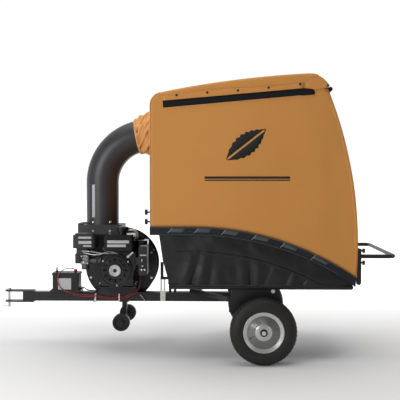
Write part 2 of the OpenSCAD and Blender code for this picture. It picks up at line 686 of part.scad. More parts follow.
// Round housing with its neck; the neck's outer wall slopes into the round part
module housing_outline(r, inset, top) {
    translate([crank_x, crank_z]) circle(r = r);
    polygon([[crank_x, crank_z], [crank_x - r, crank_z], [neck_x0 + inset, crank_z + 70], [neck_x0 + inset, top],
        [neck_x1 - inset, top], [neck_x1 - inset, crank_z]]);
}
module blower_scroll() color(satin_black) {
    side_plate(scroll_y, cover_y) difference() {
        housing_outline(scroll_r, 0, neck_top);
        housing_outline(scroll_r - sheet_t, sheet_t, neck_top + over);
    }
    difference() {
        box([duct_x - flange_half, back_y - 8, neck_top - 5], [duct_x + flange_half, cover_y + 12, neck_top]);
        box([neck_x0, back_y - 2, neck_top - 6], [neck_x1, cover_y + sheet_t, neck_top + over]);
        housing_room();
    }
}
// Room that the neck flange and the duct foot leave for the round housing
module housing_room() y_rod(crank_x, crank_z, blower_plate_r + part_gap, back_y - part_gap, cover_y + sheet_t + part_gap);
// Bolt angles round the housing, leaving out the mouth of the neck
housing_angles = [for (i = [0:blower_bolts - 1]) let (a = 360 / blower_bolts * (i + 0.5)) if (a < 92 || a > 182) a];
module blower_plate_outline(hole_r) difference() {
    housing_outline(blower_plate_r, 0, neck_top);
    translate([crank_x, crank_z]) circle(r = hole_r);
    for (a = housing_angles) translate([crank_x, crank_z]) rotate(a)
        translate([blower_bolt_r, 0]) circle(r = bolt_r + 0.5);
}
module blower_back_plate() color(satin_black)
    side_plate(back_y, scroll_y) blower_plate_outline(shaft_d / 2 + 4);
module blower_cover() color(satin_black) {
    side_plate(cover_y, cover_y + sheet_t) blower_plate_outline(intake_r - 3);
    side_plate(cover_y + sheet_t, cover_y + sheet_t + intake_len) difference() {
        translate([crank_x, crank_z]) circle(r = intake_r);
        translate([crank_x, crank_z]) circle(r = intake_r - 3);
    }
}

module bolt_along_y(x, z, y0, y1) {
    y_rod(x, z, bolt_r, y0, y1);
    y_rod(x, z, bolt_head_r, y0 - bolt_head_h, y0);
    y_rod(x, z, bolt_head_r - 1, y1 - bolt_head_h, y1);
}
foot_bolts = [[case_x0 - 9, -110], [case_x0 - 9, -30], [case_x1 + 9, -110], [case_x1 + 9, -30]];
module machine_bolts() color(zinc) {
    for (a = housing_angles)
        bolt_along_y(crank_x + blower_bolt_r * cos(a), crank_z + blower_bolt_r * sin(a), back_y,
            cover_y + sheet_t + bolt_head_h);
    for (x = [duct_x - 50, duct_x + 64]) y_rod(x, neck_top + 25, bolt_head_r, foot_y0 - bolt_head_h, foot_y0);
    for (p = foot_bolts) z_rod(p[0], p[1], bolt_head_r, foot_z + 14, foot_z + 14 + bolt_head_h);
}

foot_y0 = back_y - 6;
foot_y1 = cover_y + 10;
duct_r = duct_d / 2;
// Butt joint between the straight duct and its elbow
joint_gap = 0.4;
module discharge_duct() color(duct_grey) {
    difference() {
        box([duct_x - flange_half + 6, foot_y0, neck_top], [duct_x + flange_half - 6, foot_y1, duct_foot_top]);
        box([duct_x - flange_half + 6 + sheet_t, foot_y0 + sheet_t, neck_top - over],
            [duct_x + flange_half - 6 - sheet_t, foot_y1 - sheet_t, duct_foot_top - sheet_t]);
        housing_room();
        z_rod(duct_x, duct_y, duct_r - sheet_t, neck_top, duct_foot_top + over);
    }
    translate([duct_x, duct_y, duct_foot_top]) difference() {
        cylinder(r = duct_r, h = duct_straight - joint_gap);
        translate([0, 0, -over]) cylinder(r = duct_r - sheet_t, h = duct_straight + 2 * over);
    }
    translate([duct_x + elbow_r, duct_y, duct_top]) rotate([90, 0, 0]) rotate([0, 0, 180 - elbow_angle])
        rotate_extrude(angle = elbow_angle) translate([elbow_r, 0]) difference() {
            circle(r = duct_r);
            circle(r = duct_r - sheet_t);
        }
}

// ---------------------------------------------------------------- wheels

rim_bead_r = rim_d / 2 - 20;
rim_half = tyre_w / 2 - 14;
module tyre_profile() {
    r = tyre_d / 2;
    w = tyre_w / 2;
    difference() {
        polygon(concat([[rim_bead_r, -rim_half + 3.5], [rim_bead_r, rim_half - 3.5], [rim_d / 2 + 0.5, rim_half + 2.5]],
            [[rim_d / 2 + 4, w - 6]], arc(r - 42, w - 22, 22, 80, 30, 4), arc(r - 30, w - 34, 30, 48, 6, 5),
            arc(r - 30, -w + 34, 30, -6, -48, 5), arc(r - 42, -w + 22, 22, -30, -80, 4), [[rim_d / 2 + 4, -w + 6], [rim_d / 2 + 0.5, -rim_half - 2.5]]));
        polygon([[rim_bead_r - over, -rim_half + 16], [rim_bead_r - over, rim_half - 16], [rim_d / 2 + 10, w - 16],
            [r - 30, w - 18], [r - 13, w - 36], [r - 13, -w + 36], [r - 30, -w + 18], [rim_d / 2 + 10, -w + 16]]);
    }
}
module about_axle(y, side) translate([axle_x, y, axle_z]) mirror([0, side, 0]) rotate([90, 0, 0]) children();
module tyre_left() color(satin_black) about_axle(-wheel_y, 0) rotate_extrude() tyre_profile();
module tyre_right() color(satin_black) about_axle(wheel_y, 1) rotate_extrude() tyre_profile();

// The rim profile runs from the bore out to the flanges; its dished disc faces outwards
module rim_profile() {
    bore = axle_d / 2 + running_gap;
    shell = 3;
    polygon([[bore, -hub_half], [hub_r, -hub_half], [hub_r, hub_half], [bore, hub_half]]);
    polygon([[hub_r - 1, 30], [34, 30], [78, 12], [88, 12], [rim_bead_r - 1, 20],
        [rim_bead_r - 1, 20 + shell], [88, 12 + shell], [78, 12 + shell], [34, 30 + shell], [hub_r - 1, 30 + shell]]);
    polygon([[rim_bead_r - shell, -rim_half], [rim_bead_r, -rim_half], [rim_bead_r, rim_half], [rim_bead_r - shell, rim_half]]);
    for (s = [-1, 1]) polygon([[rim_bead_r - shell, s * (rim_half - 3)], [rim_bead_r, s * (rim_half - 3)],
        [rim_d / 2, s * (rim_half + 3)], [rim_d / 2, s * (rim_half + 6)], [rim_bead_r - shell, s * rim_half]]);
}
module rim() {
    rotate_extrude() rim_profile();
    rotate([0, 0, 200]) translate([rim_bead_r - 24, 0, 18]) rotate([0, 50, 0]) cylinder(r = 4, h = 22);
}
module rim_left() color(zinc) about_axle(-wheel_y, 0) rim();
module rim_right() color(zinc) about_axle(wheel_y, 1) rim();

// ---------------------------------------------------------------- collector

catch_y = latch_y - latch_t / 2 - 2;
base_y = tub_half - 2;
rear_tube_x = rear_edge(rear_foot_z) - 26;
front_tube_x = tub_front[2][0] + 10;
module lower_frame() color(satin_black) {
    base_mid = base_z + base_tube_d / 2;
    both_sides() translate([front_tube_x, base_y, base_mid]) rotate([0, 90, 0])
        cylinder(r = base_tube_d / 2, h = rear_tube_x - front_tube_x);
    for (x = [front_tube_x, rear_tube_x]) y_rod(x, base_mid, base_tube_d / 2 - 1, -base_y, base_y);
    both_sides() side_plate(ear_y, ear_y + ear_w) difference() {
        union() {
            translate([pivot_x - 18, pivot_z]) square([36, base_mid - pivot_z]);
            translate([pivot_x, pivot_z]) circle(r = 18);
        }
        translate([pivot_x, pivot_z]) circle(r = pivot_pin_d / 2 + running_gap);
    }
    side_plate(catch_y - 6, catch_y) polygon([[front_tube_x, base_mid - 8], [front_tube_x, base_mid + 10],
        [-182, base_mid + 10], [-182, base_mid + 108], [-202, base_mid + 108], [-202, base_mid - 8]]);
}

rail_t = 16;
rail_y1 = cover_half + 3;
module side_rails() color(slate) {
    top = concat([[cover_x, rail_z]], [for (i = [len(rail_line) - 1:-1:0]) rail_line[i]]);
    low_end = [for (p = top) if (rail_height(p[0], rail_arc_r - rail_h) > base_top + 4)
        [p[0], rail_height(p[0], rail_arc_r - rail_h)]];
    both_sides() side_plate(rail_y1 - rail_t, rail_y1)
        polygon(concat(top, [[rear_edge(rear_foot_z) - 2, base_top - 12], [rear_edge(rear_foot_z) - 22, base_top + 2]],
            [for (i = [len(low_end) - 1:-1:0]) low_end[i]]));
    box([cover_x, -rail_y1 + rail_t + part_gap, rail_z - rail_h], [cover_x + rail_t, rail_y1 - rail_t - part_gap, rail_z]);
}

bow_r = 12;
bow_y = cover_half - fabric_t - bow_r - 2;
bow_x = [cover_x + fabric_t + bow_r + 2, 300, hinge_x - 56];
module cover_bows() color(satin_black) {
    for (x = bow_x) {
        top = min(roof_height(x), roof_z - 34) - fabric_t - 2 * bow_r - 22;
        foot = rail_height(x - bow_r, rail_arc_r) + part_gap;
        both_sides() z_rod(x, bow_y, bow_r, foot, top + bow_r);
        y_rod(x, top, bow_r, -bow_y + bow_r + part_gap, bow_y - bow_r - part_gap);
    }
    both_sides() {
        side_plate(bow_y - 3, bow_y + 3) polygon([[bow_x[2] + bow_r - 2, hinge_z - 14], [bow_x[2] + bow_r - 2, hinge_z + 6],
            [hinge_x, hinge_z + 12], [hinge_x + 10, hinge_z], [hinge_x, hinge_z - 12]]);
        y_rod(hinge_x, hinge_z, 8, bow_y - 24, bow_y);
    }
}

module cover_outline() polygon(concat([[cover_x, rail_z]], roof_line, [rear_break], rear_line, rail_line));
module cover_sides() color(tan_fabric) both_sides() side_plate(cover_half - fabric_t, cover_half) cover_outline();
module cover_roof() color(tan_fabric)
    side_plate(-cover_half + fabric_t, cover_half - fabric_t)
        polygon(strip(concat([for (p = roof_line) if (p[0] > cover_x + 6) p], [rear_break]), 0, fabric_t));
sleeve_z = roof_z - sleeve_drop;
module cover_front() color(tan_fabric) difference() {
    box([cover_x, -cover_half + fabric_t, rail_z], [cover_x + fabric_t, cover_half - fabric_t, roof_height(cover_x) - front_corner_r - 10]);
    translate([cover_x - over, duct_y, sleeve_z]) rotate([0, 90, 0]) cylinder(r = sleeve_r - 4, h = 3 * fabric_t);
}

module hammock() color(vinyl_black) {
    edge = [for (i = [len(rail_line) - 1:-1:0]) let (h = rail_height(rail_line[i][0], rail_arc_r - rail_h) - 1)
        if (h > base_top + 8) [rail_line[i][0], h]];
    both_sides() side_plate(tub_half - fabric_t, tub_half)
        polygon(concat([tub_front[2], tub_front[1], tub_front[0]], edge, [[edge[len(edge) - 1][0] + 10, base_top + 6]]));
    side_plate(-tub_half + fabric_t + part_gap, tub_half - fabric_t - part_gap) polygon(strip(tub_front, -fabric_t, 0));
    box([tub_front[2][0] + fabric_t + 2, -tub_half + fabric_t + 2, base_top + 2],
        [rear_tube_x, tub_half - fabric_t - 2, base_top + 2 + fabric_t]);
}

sleeve_gap = 4;
sleeve_tilt = 90 - elbow_angle;
module chute_sleeve() color(tan_fabric) {
    start = [elbow_end_x + sleeve_gap * cos(sleeve_tilt), duct_y, elbow_end_z + sleeve_gap * sin(sleeve_tilt)];
    span = cover_x - start[0];
    intersection() {
        translate(start) rotate([0, 90 - sleeve_tilt, 0]) difference() {
            cylinder(r1 = duct_r + 8, r2 = sleeve_r, h = span * 1.25);
            translate([0, 0, -over]) cylinder(r1 = duct_r + 4, r2 = sleeve_r - 5, h = span * 1.25 + 2 * over);
        }
        box([start[0] - 60, duct_y - 200, sleeve_z - 250], [cover_x - 0.5, duct_y + 200, sleeve_z + 250]);
    }
}

knob_z = [rail_z + 31, rail_z + 90];
module clamp_knobs() color(plastic_black) both_sides() for (z = knob_z) {
    translate([cover_x - 31, cover_half - 25, z]) rotate([0, 90, 0]) cylinder(r = 17, h = 16);
    translate([cover_x - 15, cover_half - 25, z]) rotate([0, 90, 0]) cylinder(r = 5, h = 15 - 0.2);
}

// Rear door: top tube on the hinge pins, curved side bars, cross bars and the lower plates
door_y0 = cover_half - 40;
door_y1 = cover_half - 21;
door_mid_y = (door_y0 + door_y1) / 2;
door_low = base_z + 27;
door_bar = [for (i = [0:12]) let (z = hinge_z - 6 + (rear_foot_z - hinge_z + 6) * i / 12) [rear_edge(z) + 2, z]];
bar_in = 16;
tube_wall = 6;
module door_frame() color(satin_black) {
    difference() {
        union() {
            y_rod(hinge_x, hinge_z, 8 + tube_wall, -bow_y + 5, bow_y - 5);
            both_sides() side_plate(door_y0, door_y1) polygon(strip(door_bar, 4, bar_in + 4));
            both_sides() side_plate(door_y0, door_y1) polygon([[door_bar[0][0] - 26, hinge_z - 42],
                [door_bar[0][0] - 26, hinge_z - 9], [hinge_x - 2, hinge_z + 7], [hinge_x + 6, hinge_z - 11],
                [door_bar[0][0] + 2, hinge_z - 42]]);
        }
        y_rod(hinge_x, hinge_z, 8 + running_gap, -cover_half, cover_half);
    }
    both_sides() {
        side_plate(door_y0, door_y1) polygon([[door_x - 10, base_z + 260], [door_x + 25, base_z + 250],
            [door_x + 25, door_low + 12], [door_x + 14, door_low], [door_x - 2, door_low + 6], [door_x - 10, rear_foot_z + 4]]);
    }
    for (z = [rear_foot_z + 12, handle_z + 60])
        box([rear_edge(z) - 16, -door_y0, z - 12], [rear_edge(z) - 6, door_y0, z + 12]);
}
door_x = cover_rear_x + 4;
module rear_panel() color(tan_fabric) side_plate(-door_y0 + part_gap, door_y0 - part_gap)
    polygon(strip([for (p = door_bar) if (p[1] < hinge_z - 20) p], 0, -fabric_t));

handle_y = 420;
handle_bend = 40;
module push_handle() color(satin_black) {
    end_x = rear_x - handle_d / 2;
    legs = concat([[door_x + 25, -handle_y, handle_z], [end_x - handle_bend, -handle_y, handle_z]],
        [for (a = [75:-15:15]) [end_x - handle_bend + handle_bend * cos(a), -handle_y + handle_bend - handle_bend * sin(a), handle_z]],
        [[end_x, -handle_y + handle_bend, handle_z], [end_x, handle_y - handle_bend, handle_z]],
        [for (a = [15:15:75]) [end_x - handle_bend + handle_bend * cos(a), handle_y - handle_bend + handle_bend * sin(a), handle_z]],
        [[end_x - handle_bend, handle_y, handle_z], [door_x + 25, handle_y, handle_z]]);
    sweep(legs, handle_d / 2, up = [0, 0, 1], sides = 24);
    both_sides() for (z = [handle_z - 38, handle_z + 36]) {
        translate([door_x + 25, door_mid_y, z]) rotate([0, 90, 0]) cylinder(r = 5, h = 8);
        translate([door_x + 33, door_mid_y, z]) rotate([0, 90, 0]) cylinder(r = 14, h = 14);
    }
}

tongue_beam();
hitch_clevis();
hitch_pin();
hitch_clip();
axle_carrier();
axle();
frame_braces();
rest_bumpers();
engine_platform();
battery_tray();
battery();
battery_leads();
beam_bolts();
wheel_retainers();
jack_socket();
jack_leg();
jack_wheel_left();
jack_wheel_right();
crankcase();
cylinder_head();
spark_plug();
fan_shroud();
recoil_cover();
starter_rope();
starter_grip();
fuel_tank();
fuel_cap();
air_cleaner();
carburettor();
choke_lever();
throttle_lever();
muffler();
control_box();
ignition_key();
crankshaft();
flywheel();
impeller();
blower_scroll();
blower_back_plate();
blower_cover();
machine_bolts();
discharge_duct();
tyre_left();
tyre_right();
rim_left();
rim_right();
dump_latch();
lower_frame();
side_rails();
cover_bows();
cover_sides();
cover_roof();
cover_front();
hammock();
pivot_pins();
chute_sleeve();
clamp_knobs();
door_frame();
rear_panel();
push_handle();
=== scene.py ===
"""Looks of the tow-behind leaf vacuum: fabric cover, vinyl hammock, engine dress, tyres and studio."""

import json
import math
import random

import bmesh
import bpy
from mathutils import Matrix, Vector, noise


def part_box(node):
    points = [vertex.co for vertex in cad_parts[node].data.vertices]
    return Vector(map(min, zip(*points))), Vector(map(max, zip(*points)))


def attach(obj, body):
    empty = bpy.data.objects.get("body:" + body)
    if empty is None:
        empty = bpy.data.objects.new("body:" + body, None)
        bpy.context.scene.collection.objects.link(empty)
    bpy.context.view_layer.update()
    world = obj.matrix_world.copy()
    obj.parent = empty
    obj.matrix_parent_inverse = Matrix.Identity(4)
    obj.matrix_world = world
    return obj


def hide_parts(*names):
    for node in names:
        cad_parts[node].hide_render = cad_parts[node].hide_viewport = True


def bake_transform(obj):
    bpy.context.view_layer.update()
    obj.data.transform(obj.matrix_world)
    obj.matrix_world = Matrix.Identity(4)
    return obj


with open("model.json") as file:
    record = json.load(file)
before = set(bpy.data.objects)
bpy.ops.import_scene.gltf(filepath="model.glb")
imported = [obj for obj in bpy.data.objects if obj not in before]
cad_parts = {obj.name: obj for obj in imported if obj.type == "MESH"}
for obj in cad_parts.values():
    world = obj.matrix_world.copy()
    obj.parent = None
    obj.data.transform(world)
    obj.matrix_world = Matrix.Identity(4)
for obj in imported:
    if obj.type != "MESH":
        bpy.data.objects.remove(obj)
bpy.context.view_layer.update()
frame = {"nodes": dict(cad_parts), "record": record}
NODES = frame["nodes"]


# ---------------------------------------------------------------- camera, light and floor

CAMERA_PLACE = (0.200, -5.25, 1.1435)
CAMERA_DOWN = 1.82
CAMERA_LEFT = 1.53
FOCAL_LENGTH = 70.65


def add_camera():
    """The camera stands left of the machine, a little above the wheels, and looks slightly down."""
    data = bpy.data.cameras.new("camera")
    data.lens = FOCAL_LENGTH
    data.sensor_width = 36
    data.clip_end = 100
    camera = bpy.data.objects.new("camera", data)
    camera.location = CAMERA_PLACE
    camera.rotation_euler = (math.radians(90 - CAMERA_DOWN), 0, math.radians(CAMERA_LEFT))
    bpy.context.collection.objects.link(camera)
    bpy.context.scene.camera = camera


def add_area_light(name, place, target, size, power):
    """A rectangular lamp that points at a target."""
    data = bpy.data.lights.new(name, "AREA")
    data.shape = "RECTANGLE"
    data.size, data.size_y = size
    data.energy = power
    light = bpy.data.objects.new(name, data)
    light.location = place
    direction = Vector(target) - Vector(place)
    light.rotation_euler = direction.to_track_quat("-Z", "Y").to_euler()
    bpy.context.collection.objects.link(light)


def map_range(tree, source, spans):
    """A node that turns one span of values into another; spans sets its inputs by name."""
    node = tree.nodes.new("ShaderNodeMapRange")
    for name, value in spans.items():
        node.inputs[name].default_value = value
    tree.links.new(source, node.inputs["Value"])
    return node


def add_lights():
    """White behind the object, dim on the camera's side, so that dark parts stay dark."""
    world = bpy.data.worlds.new("studio")
    world.use_nodes = True
    tree = world.node_tree
    background = tree.nodes["Background"]
    background.inputs["Color"].default_value = (1, 1, 1, 1)
    place = tree.nodes.new("ShaderNodeTexCoord")
    split = tree.nodes.new("ShaderNodeSeparateXYZ")
    tree.links.new(place.outputs["Generated"], split.inputs["Vector"])
    spans = {"From Min": -0.35, "From Max": 0.55, "To Min": 0.11, "To Max": 1.02}
    fade = map_range(tree, split.outputs["Y"], spans)
    tree.links.new(fade.outputs["Result"], background.inputs["Strength"])
    bpy.context.scene.world = world
    add_area_light("key", (-3.1, -4.0, 2.0), (-0.2, -0.4, 0.85), (2.2, 1.6), 128)
    add_area_light("top", (0.0, -0.4, 4.6), (0.1, 0, 0), (4.2, 3.0), 88)
    add_area_light("fill", (3.6, -4.2, 1.6), (0.3, 0, 0.8), (1.6, 1.6), 12)
    bpy.context.scene.view_settings.view_transform = "Standard"


def add_floor():
    """A pale floor that turns white far behind the object."""
    bpy.ops.mesh.primitive_plane_add(size=60, location=(0, 0, -0.0005))
    floor = bpy.context.object
    floor.name = "floor"
    material = bpy.data.materials.new("studio_floor")
    material.use_nodes = True
    tree = material.node_tree
    shader = tree.nodes["Principled BSDF"]
    shader.inputs["Base Color"].default_value = (0.80, 0.80, 0.80, 1)
    shader.inputs["Roughness"].default_value = 0.8
    shader.inputs["Emission Color"].default_value = (1, 1, 1, 1)
    place = tree.nodes.new("ShaderNodeTexCoord")
    split = tree.nodes.new("ShaderNodeSeparateXYZ")
    tree.links.new(place.outputs["Object"], split.inputs["Vector"])
    spans = {"From Min": -0.6, "From Max": 4.0, "To Min": 0.0, "To Max": 0.9}
    fade = map_range(tree, split.outputs["Y"], spans)
    fade.interpolation_type = "SMOOTHSTEP"
    tree.links.new(fade.outputs["Result"], shader.inputs["Emission Strength"])
    floor.data.materials.append(material)


# ---------------------------------------------------------------- materials

def finish(name, colour, rough, metal=0.0, spread=0.12, patch=9.0, grain=350.0, bump=0.08, coat=0.0,
           sheen=0.0, detail="noise", depth=0.0006, specular=0.5):
    """A painted, moulded, rubber or woven surface: patchy tone, uneven gloss and fine relief."""
    material = bpy.data.materials.new(name)
    material.use_nodes = True
    tree = material.node_tree
    shader = tree.nodes["Principled BSDF"]
    link = tree.links.new
    place = tree.nodes.new("ShaderNodeTexCoord")
    patches = tree.nodes.new("ShaderNodeTexNoise")
    patches.inputs["Scale"].default_value = patch
    patches.inputs["Detail"].default_value = 4
    link(place.outputs["Object"], patches.inputs["Vector"])
    ramp = tree.nodes.new("ShaderNodeMix")
    ramp.data_type = "RGBA"
    ramp.inputs["A"].default_value = (*[c * (1 - spread) for c in colour], 1)
    ramp.inputs["B"].default_value = (*[min(1, c * (1 + spread)) for c in colour], 1)
    link(patches.outputs["Fac"], ramp.inputs["Factor"])
    link(ramp.outputs["Result"], shader.inputs["Base Color"])
    spans = {"To Min": max(0.05, rough - 0.08), "To Max": min(1, rough + 0.08)}
    gloss = map_range(tree, patches.outputs["Fac"], spans)
    link(gloss.outputs["Result"], shader.inputs["Roughness"])
    shader.inputs["Metallic"].default_value = metal
    shader.inputs["Coat Weight"].default_value = coat
    shader.inputs["Sheen Weight"].default_value = sheen
    shader.inputs["Specular IOR Level"].default_value = specular
    relief = tree.nodes.new("ShaderNodeBump")
    relief.inputs["Strength"].default_value = bump
    relief.inputs["Distance"].default_value = depth
    if detail == "weave":
        height = weave_height(tree, place, grain)
    else:
        fine = tree.nodes.new("ShaderNodeTexNoise")
        fine.inputs["Scale"].default_value = grain
        fine.inputs["Detail"].default_value = 3
        link(place.outputs["Object"], fine.inputs["Vector"])
        height = fine.outputs["Fac"]
    link(height, relief.inputs["Height"])
    link(relief.outputs["Normal"], shader.inputs["Normal"])
    return material


def weave_height(tree, place, grain):
    """Two crossed sets of threads, one along X and one along Z."""
    link = tree.links.new
    waves = []
    for axis in ("X", "Z"):
        wave = tree.nodes.new("ShaderNodeTexWave")
        wave.bands_direction = axis
        wave.inputs["Scale"].default_value = grain
        wave.inputs["Distortion"].default_value = 0.4
        link(place.outputs["Object"], wave.inputs["Vector"])
        waves.append(wave)
    mix = tree.nodes.new("ShaderNodeMath")
    mix.operation = "MULTIPLY"
    link(waves[0].outputs["Fac"], mix.inputs[0])
    link(waves[1].outputs["Fac"], mix.inputs[1])
    return mix.outputs[0]


def make_materials():
    """Every finish by name: colour, roughness, then what sets it apart from the defaults."""
    cloth = dict(detail="weave", specular=0.25)
    print_cloth = dict(detail="weave", specular=0.15)
    moulded = dict(grain=300, bump=0.10)
    recipes = {
        "cover_fabric": ((0.545, 0.240, 0.058), 0.72,
                         dict(cloth, spread=0.07, patch=3.2, grain=160, bump=0.35, sheen=0.08)),
        "fabric_binding": ((0.56, 0.27, 0.085), 0.7, dict(grain=220, bump=0.4, detail="weave")),
        "fabric_hem": ((0.16, 0.075, 0.03), 0.75, dict(grain=220, bump=0.4, detail="weave")),
        "sleeve_fabric": ((0.66, 0.33, 0.11), 0.7,
                          dict(cloth, spread=0.18, patch=20, grain=160, bump=0.4, sheen=0.1)),
        "tub_vinyl": ((0.009, 0.009, 0.0095), 0.38,
                      dict(spread=0.3, patch=7, grain=240, bump=0.3, detail="weave", specular=0.32)),
        "vent_mesh": ((0.008, 0.009, 0.011), 0.72, dict(print_cloth, grain=110, bump=0.8, depth=0.001)),
        "print_ink": ((0.022, 0.021, 0.021), 0.7, dict(print_cloth, grain=160, bump=0.25)),
        "frame_steel": ((0.010, 0.010, 0.011), 0.34, dict(spread=0.25, grain=160, bump=0.05, specular=0.4)),
        "rail_paint": ((0.009, 0.010, 0.012), 0.42,
                       dict(spread=0.3, patch=5, grain=200, bump=0.06, specular=0.3)),
        "rail_mark": ((0.22, 0.24, 0.26), 0.45, dict(grain=200, bump=0.05)),
        "rail_panel": ((0.050, 0.057, 0.064), 0.42, dict(spread=0.3, patch=18, grain=200, bump=0.05)),
        "zinc_steel": ((0.62, 0.62, 0.61), 0.30,
                       dict(metal=1.0, spread=0.15, patch=30, grain=500, bump=0.06)),
        "engine_paint": ((0.004, 0.004, 0.0045), 0.22,
                         dict(spread=0.3, grain=120, bump=0.05, coat=0.2, specular=0.35)),
        "engine_casting": ((0.45, 0.45, 0.45), 0.42,
                           dict(metal=0.9, spread=0.3, patch=40, grain=260, bump=0.25)),
        "black_plastic": ((0.009, 0.009, 0.010), 0.40, dict(moulded, spread=0.2, specular=0.35)),
        "grey_plastic": ((0.020, 0.0195, 0.021), 0.36, dict(moulded, spread=0.15, specular=0.4)),
        "duct_plastic": ((0.026, 0.026, 0.029), 0.46, dict(spread=0.12, patch=4, grain=260, bump=0.10)),
        "tyre_rubber": ((0.016, 0.015, 0.014), 0.58,
                        dict(specular=0.3, spread=0.3, patch=14, grain=200, bump=0.2)),
        "rubber": ((0.015, 0.015, 0.015), 0.6, dict(grain=200, bump=0.2)),
        "rim_paint": ((0.50, 0.51, 0.50), 0.30,
                      dict(metal=0.55, spread=0.08, patch=12, grain=420, bump=0.06)),
        "red_lead": ((0.30, 0.020, 0.026), 0.35, dict(grain=200, bump=0.04)),
        "cast_dark": ((0.10, 0.10, 0.105), 0.34, dict(metal=0.8, spread=0.5, patch=60, grain=260, bump=0.4)),
        "label": ((0.42, 0.43, 0.44), 0.35, dict(spread=0.10, patch=45, grain=300, bump=0.02)),
        "white_tie": ((0.80, 0.80, 0.78), 0.4, dict(grain=200, bump=0.03)),
    }
    return {name: finish(name, colour, rough, **rest) for name, (colour, rough, rest) in recipes.items()}


def paint_cad_nodes(materials):
    """Each CAD node gets the finish of its slot; the leads and three engine parts have their own."""
    slots = {row["node"]: row["material_slot"] for row in frame["record"]["subparts"]}
    own = {"battery_leads": "red_lead", "air_cleaner": "grey_plastic", "carburettor": "cast_dark",
           "control_box": "grey_plastic"}
    for name, node in NODES.items():
        node.data.materials.clear()
        node.data.materials.append(materials[own.get(name, slots[name])])


# ---------------------------------------------------------------- mesh helpers

def piece(name, verts, faces, material, body, weld=0.0):
    """A smooth mesh that moves with a body; body is None for a piece that is attached to no body."""
    mesh = bpy.data.meshes.new(name)
    mesh.from_pydata([tuple(v) for v in verts], [], faces)
    if weld:
        work = bmesh.new()
        work.from_mesh(mesh)
        bmesh.ops.remove_doubles(work, verts=work.verts, dist=weld)
        bmesh.ops.recalc_face_normals(work, faces=work.faces)
        work.to_mesh(mesh)
        work.free()
    mesh.update()
    obj = bpy.data.objects.new(name, mesh)
    bpy.context.collection.objects.link(obj)
    obj.data.materials.append(material)
    mesh.polygons.foreach_set("use_smooth", [True] * len(mesh.polygons))
    if body:
        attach(obj, body)
    return obj


def grid_faces(rows, columns, offset=0, close_columns=False):
    """Quads over a grid of points stored row by row."""
    faces = []
    last = columns if close_columns else columns - 1
    for i in range(rows - 1):
        for j in range(last):
            k = (j + 1) % columns
            faces.append((offset + i * columns + j, offset + i * columns + k,
                          offset + (i + 1) * columns + k, offset + (i + 1) * columns + j))
    return faces


def thicken(obj, thickness, offset=-1.0):
    """Gives a sheet its thickness: inwards at -1, outwards at 1, both ways at 0."""
    modifier = obj.modifiers.new("thickness", "SOLIDIFY")
    modifier.thickness = thickness
    modifier.offset = offset
    apply(obj, modifier)


def apply(obj, modifier):
    """Makes a modifier's result the mesh itself."""
    bpy.context.view_layer.objects.active = obj
    with bpy.context.temp_override(object=obj, active_object=obj, selected_objects=[obj]):
        bpy.ops.object.modifier_apply(modifier=modifier.name)


def bevelled_box(name, low, high, radius, material, body):
    """A box with rounded edges."""
    work = bmesh.new()
    bmesh.ops.create_cube(work, size=1.0)
    for v in work.verts:
        v.co = Vector([low[i] + (v.co[i] + 0.5) * (high[i] - low[i]) for i in range(3)])
    bmesh.ops.bevel(work, geom=work.edges[:], offset=radius, segments=2, profile=0.6, affect="EDGES")
    mesh = bpy.data.meshes.new(name)
    work.to_mesh(mesh)
    work.free()
    obj = bpy.data.objects.new(name, mesh)
    bpy.context.collection.objects.link(obj)
    obj.data.materials.append(material)
    mesh.polygons.foreach_set("use_smooth", [True] * len(mesh.polygons))
    apply(obj, obj.modifiers.new("normals", "WEIGHTED_NORMAL"))
    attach(obj, body)
    return obj


def revolved(name, profile, centre, axis, material, body, steps=48):
    """A turned piece: profile is (radius, distance along the axis) pairs."""
    axis = Vector(axis).normalized()
    side = axis.orthogonal().normalized()
    other = axis.cross(side)
    centre = Vector(centre)
    verts = []
    for r, along in profile:
        for j in range(steps):
            a = 2 * math.pi * j / steps
            verts.append(centre + axis * along + (side * math.cos(a) + other * math.sin(a)) * r)
    faces = grid_faces(len(profile), steps, close_columns=True)
    for row in (0, len(profile) - 1):
        if profile[row][0] > 0.0002:
            ring = [row * steps + j for j in range(steps)]
            faces.append(tuple(ring if row else ring[::-1]))
    return piece(name, verts, faces, material, body, weld=0.00005)


def tube(name, points, radius, material, body, steps=12, cyclic=False):
    """A round bar or wire along a smooth curve."""
    data = bpy.data.curves.new(name, "CURVE")
    data.dimensions = "3D"
    data.bevel_depth = radius
    data.bevel_resolution = 3
    data.resolution_u = steps
    data.use_fill_caps = True
    spline = data.splines.new("BEZIER")
    spline.bezier_points.add(len(points) - 1)
    for point, place in zip(spline.bezier_points, points):
        point.co = place
        point.handle_left_type = point.handle_right_type = "AUTO"
    spline.use_cyclic_u = cyclic
    obj = bpy.data.objects.new(name, data)
    bpy.context.collection.objects.link(obj)
    obj.data.materials.append(material)
    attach(obj, body)
    return obj


# ---------------------------------------------------------------- outline of the collector

sides_low, sides_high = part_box("cover_sides")
rail_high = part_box("side_rails")[1]
frame_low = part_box("lower_frame")[0]
HALF = sides_high[1]
FRONT_X = sides_low[0]
REAR_X = sides_high[0]
ROOF_Z = 1.768
RAIL_Z = rail_high[2]
FOOT_Z = sides_low[2]
BASE_Z = frame_low[2] + 0.030
RAIL_ARC_X, RAIL_ARC_R = 0.030, 1.760
REAR_ARC_R, REAR_ARC_Z = 2.543, 0.710
REAR_ARC_X = REAR_X - REAR_ARC_R
ROOF_ARC_R, ROOF_ARC_X = 5.880, 1.009
ROOF_BREAK = (0.788, 1.760)
REAR_BREAK = (0.846, 1.678)
SUPPORTS = (FRONT_X, 0.300, 0.808, REAR_X)


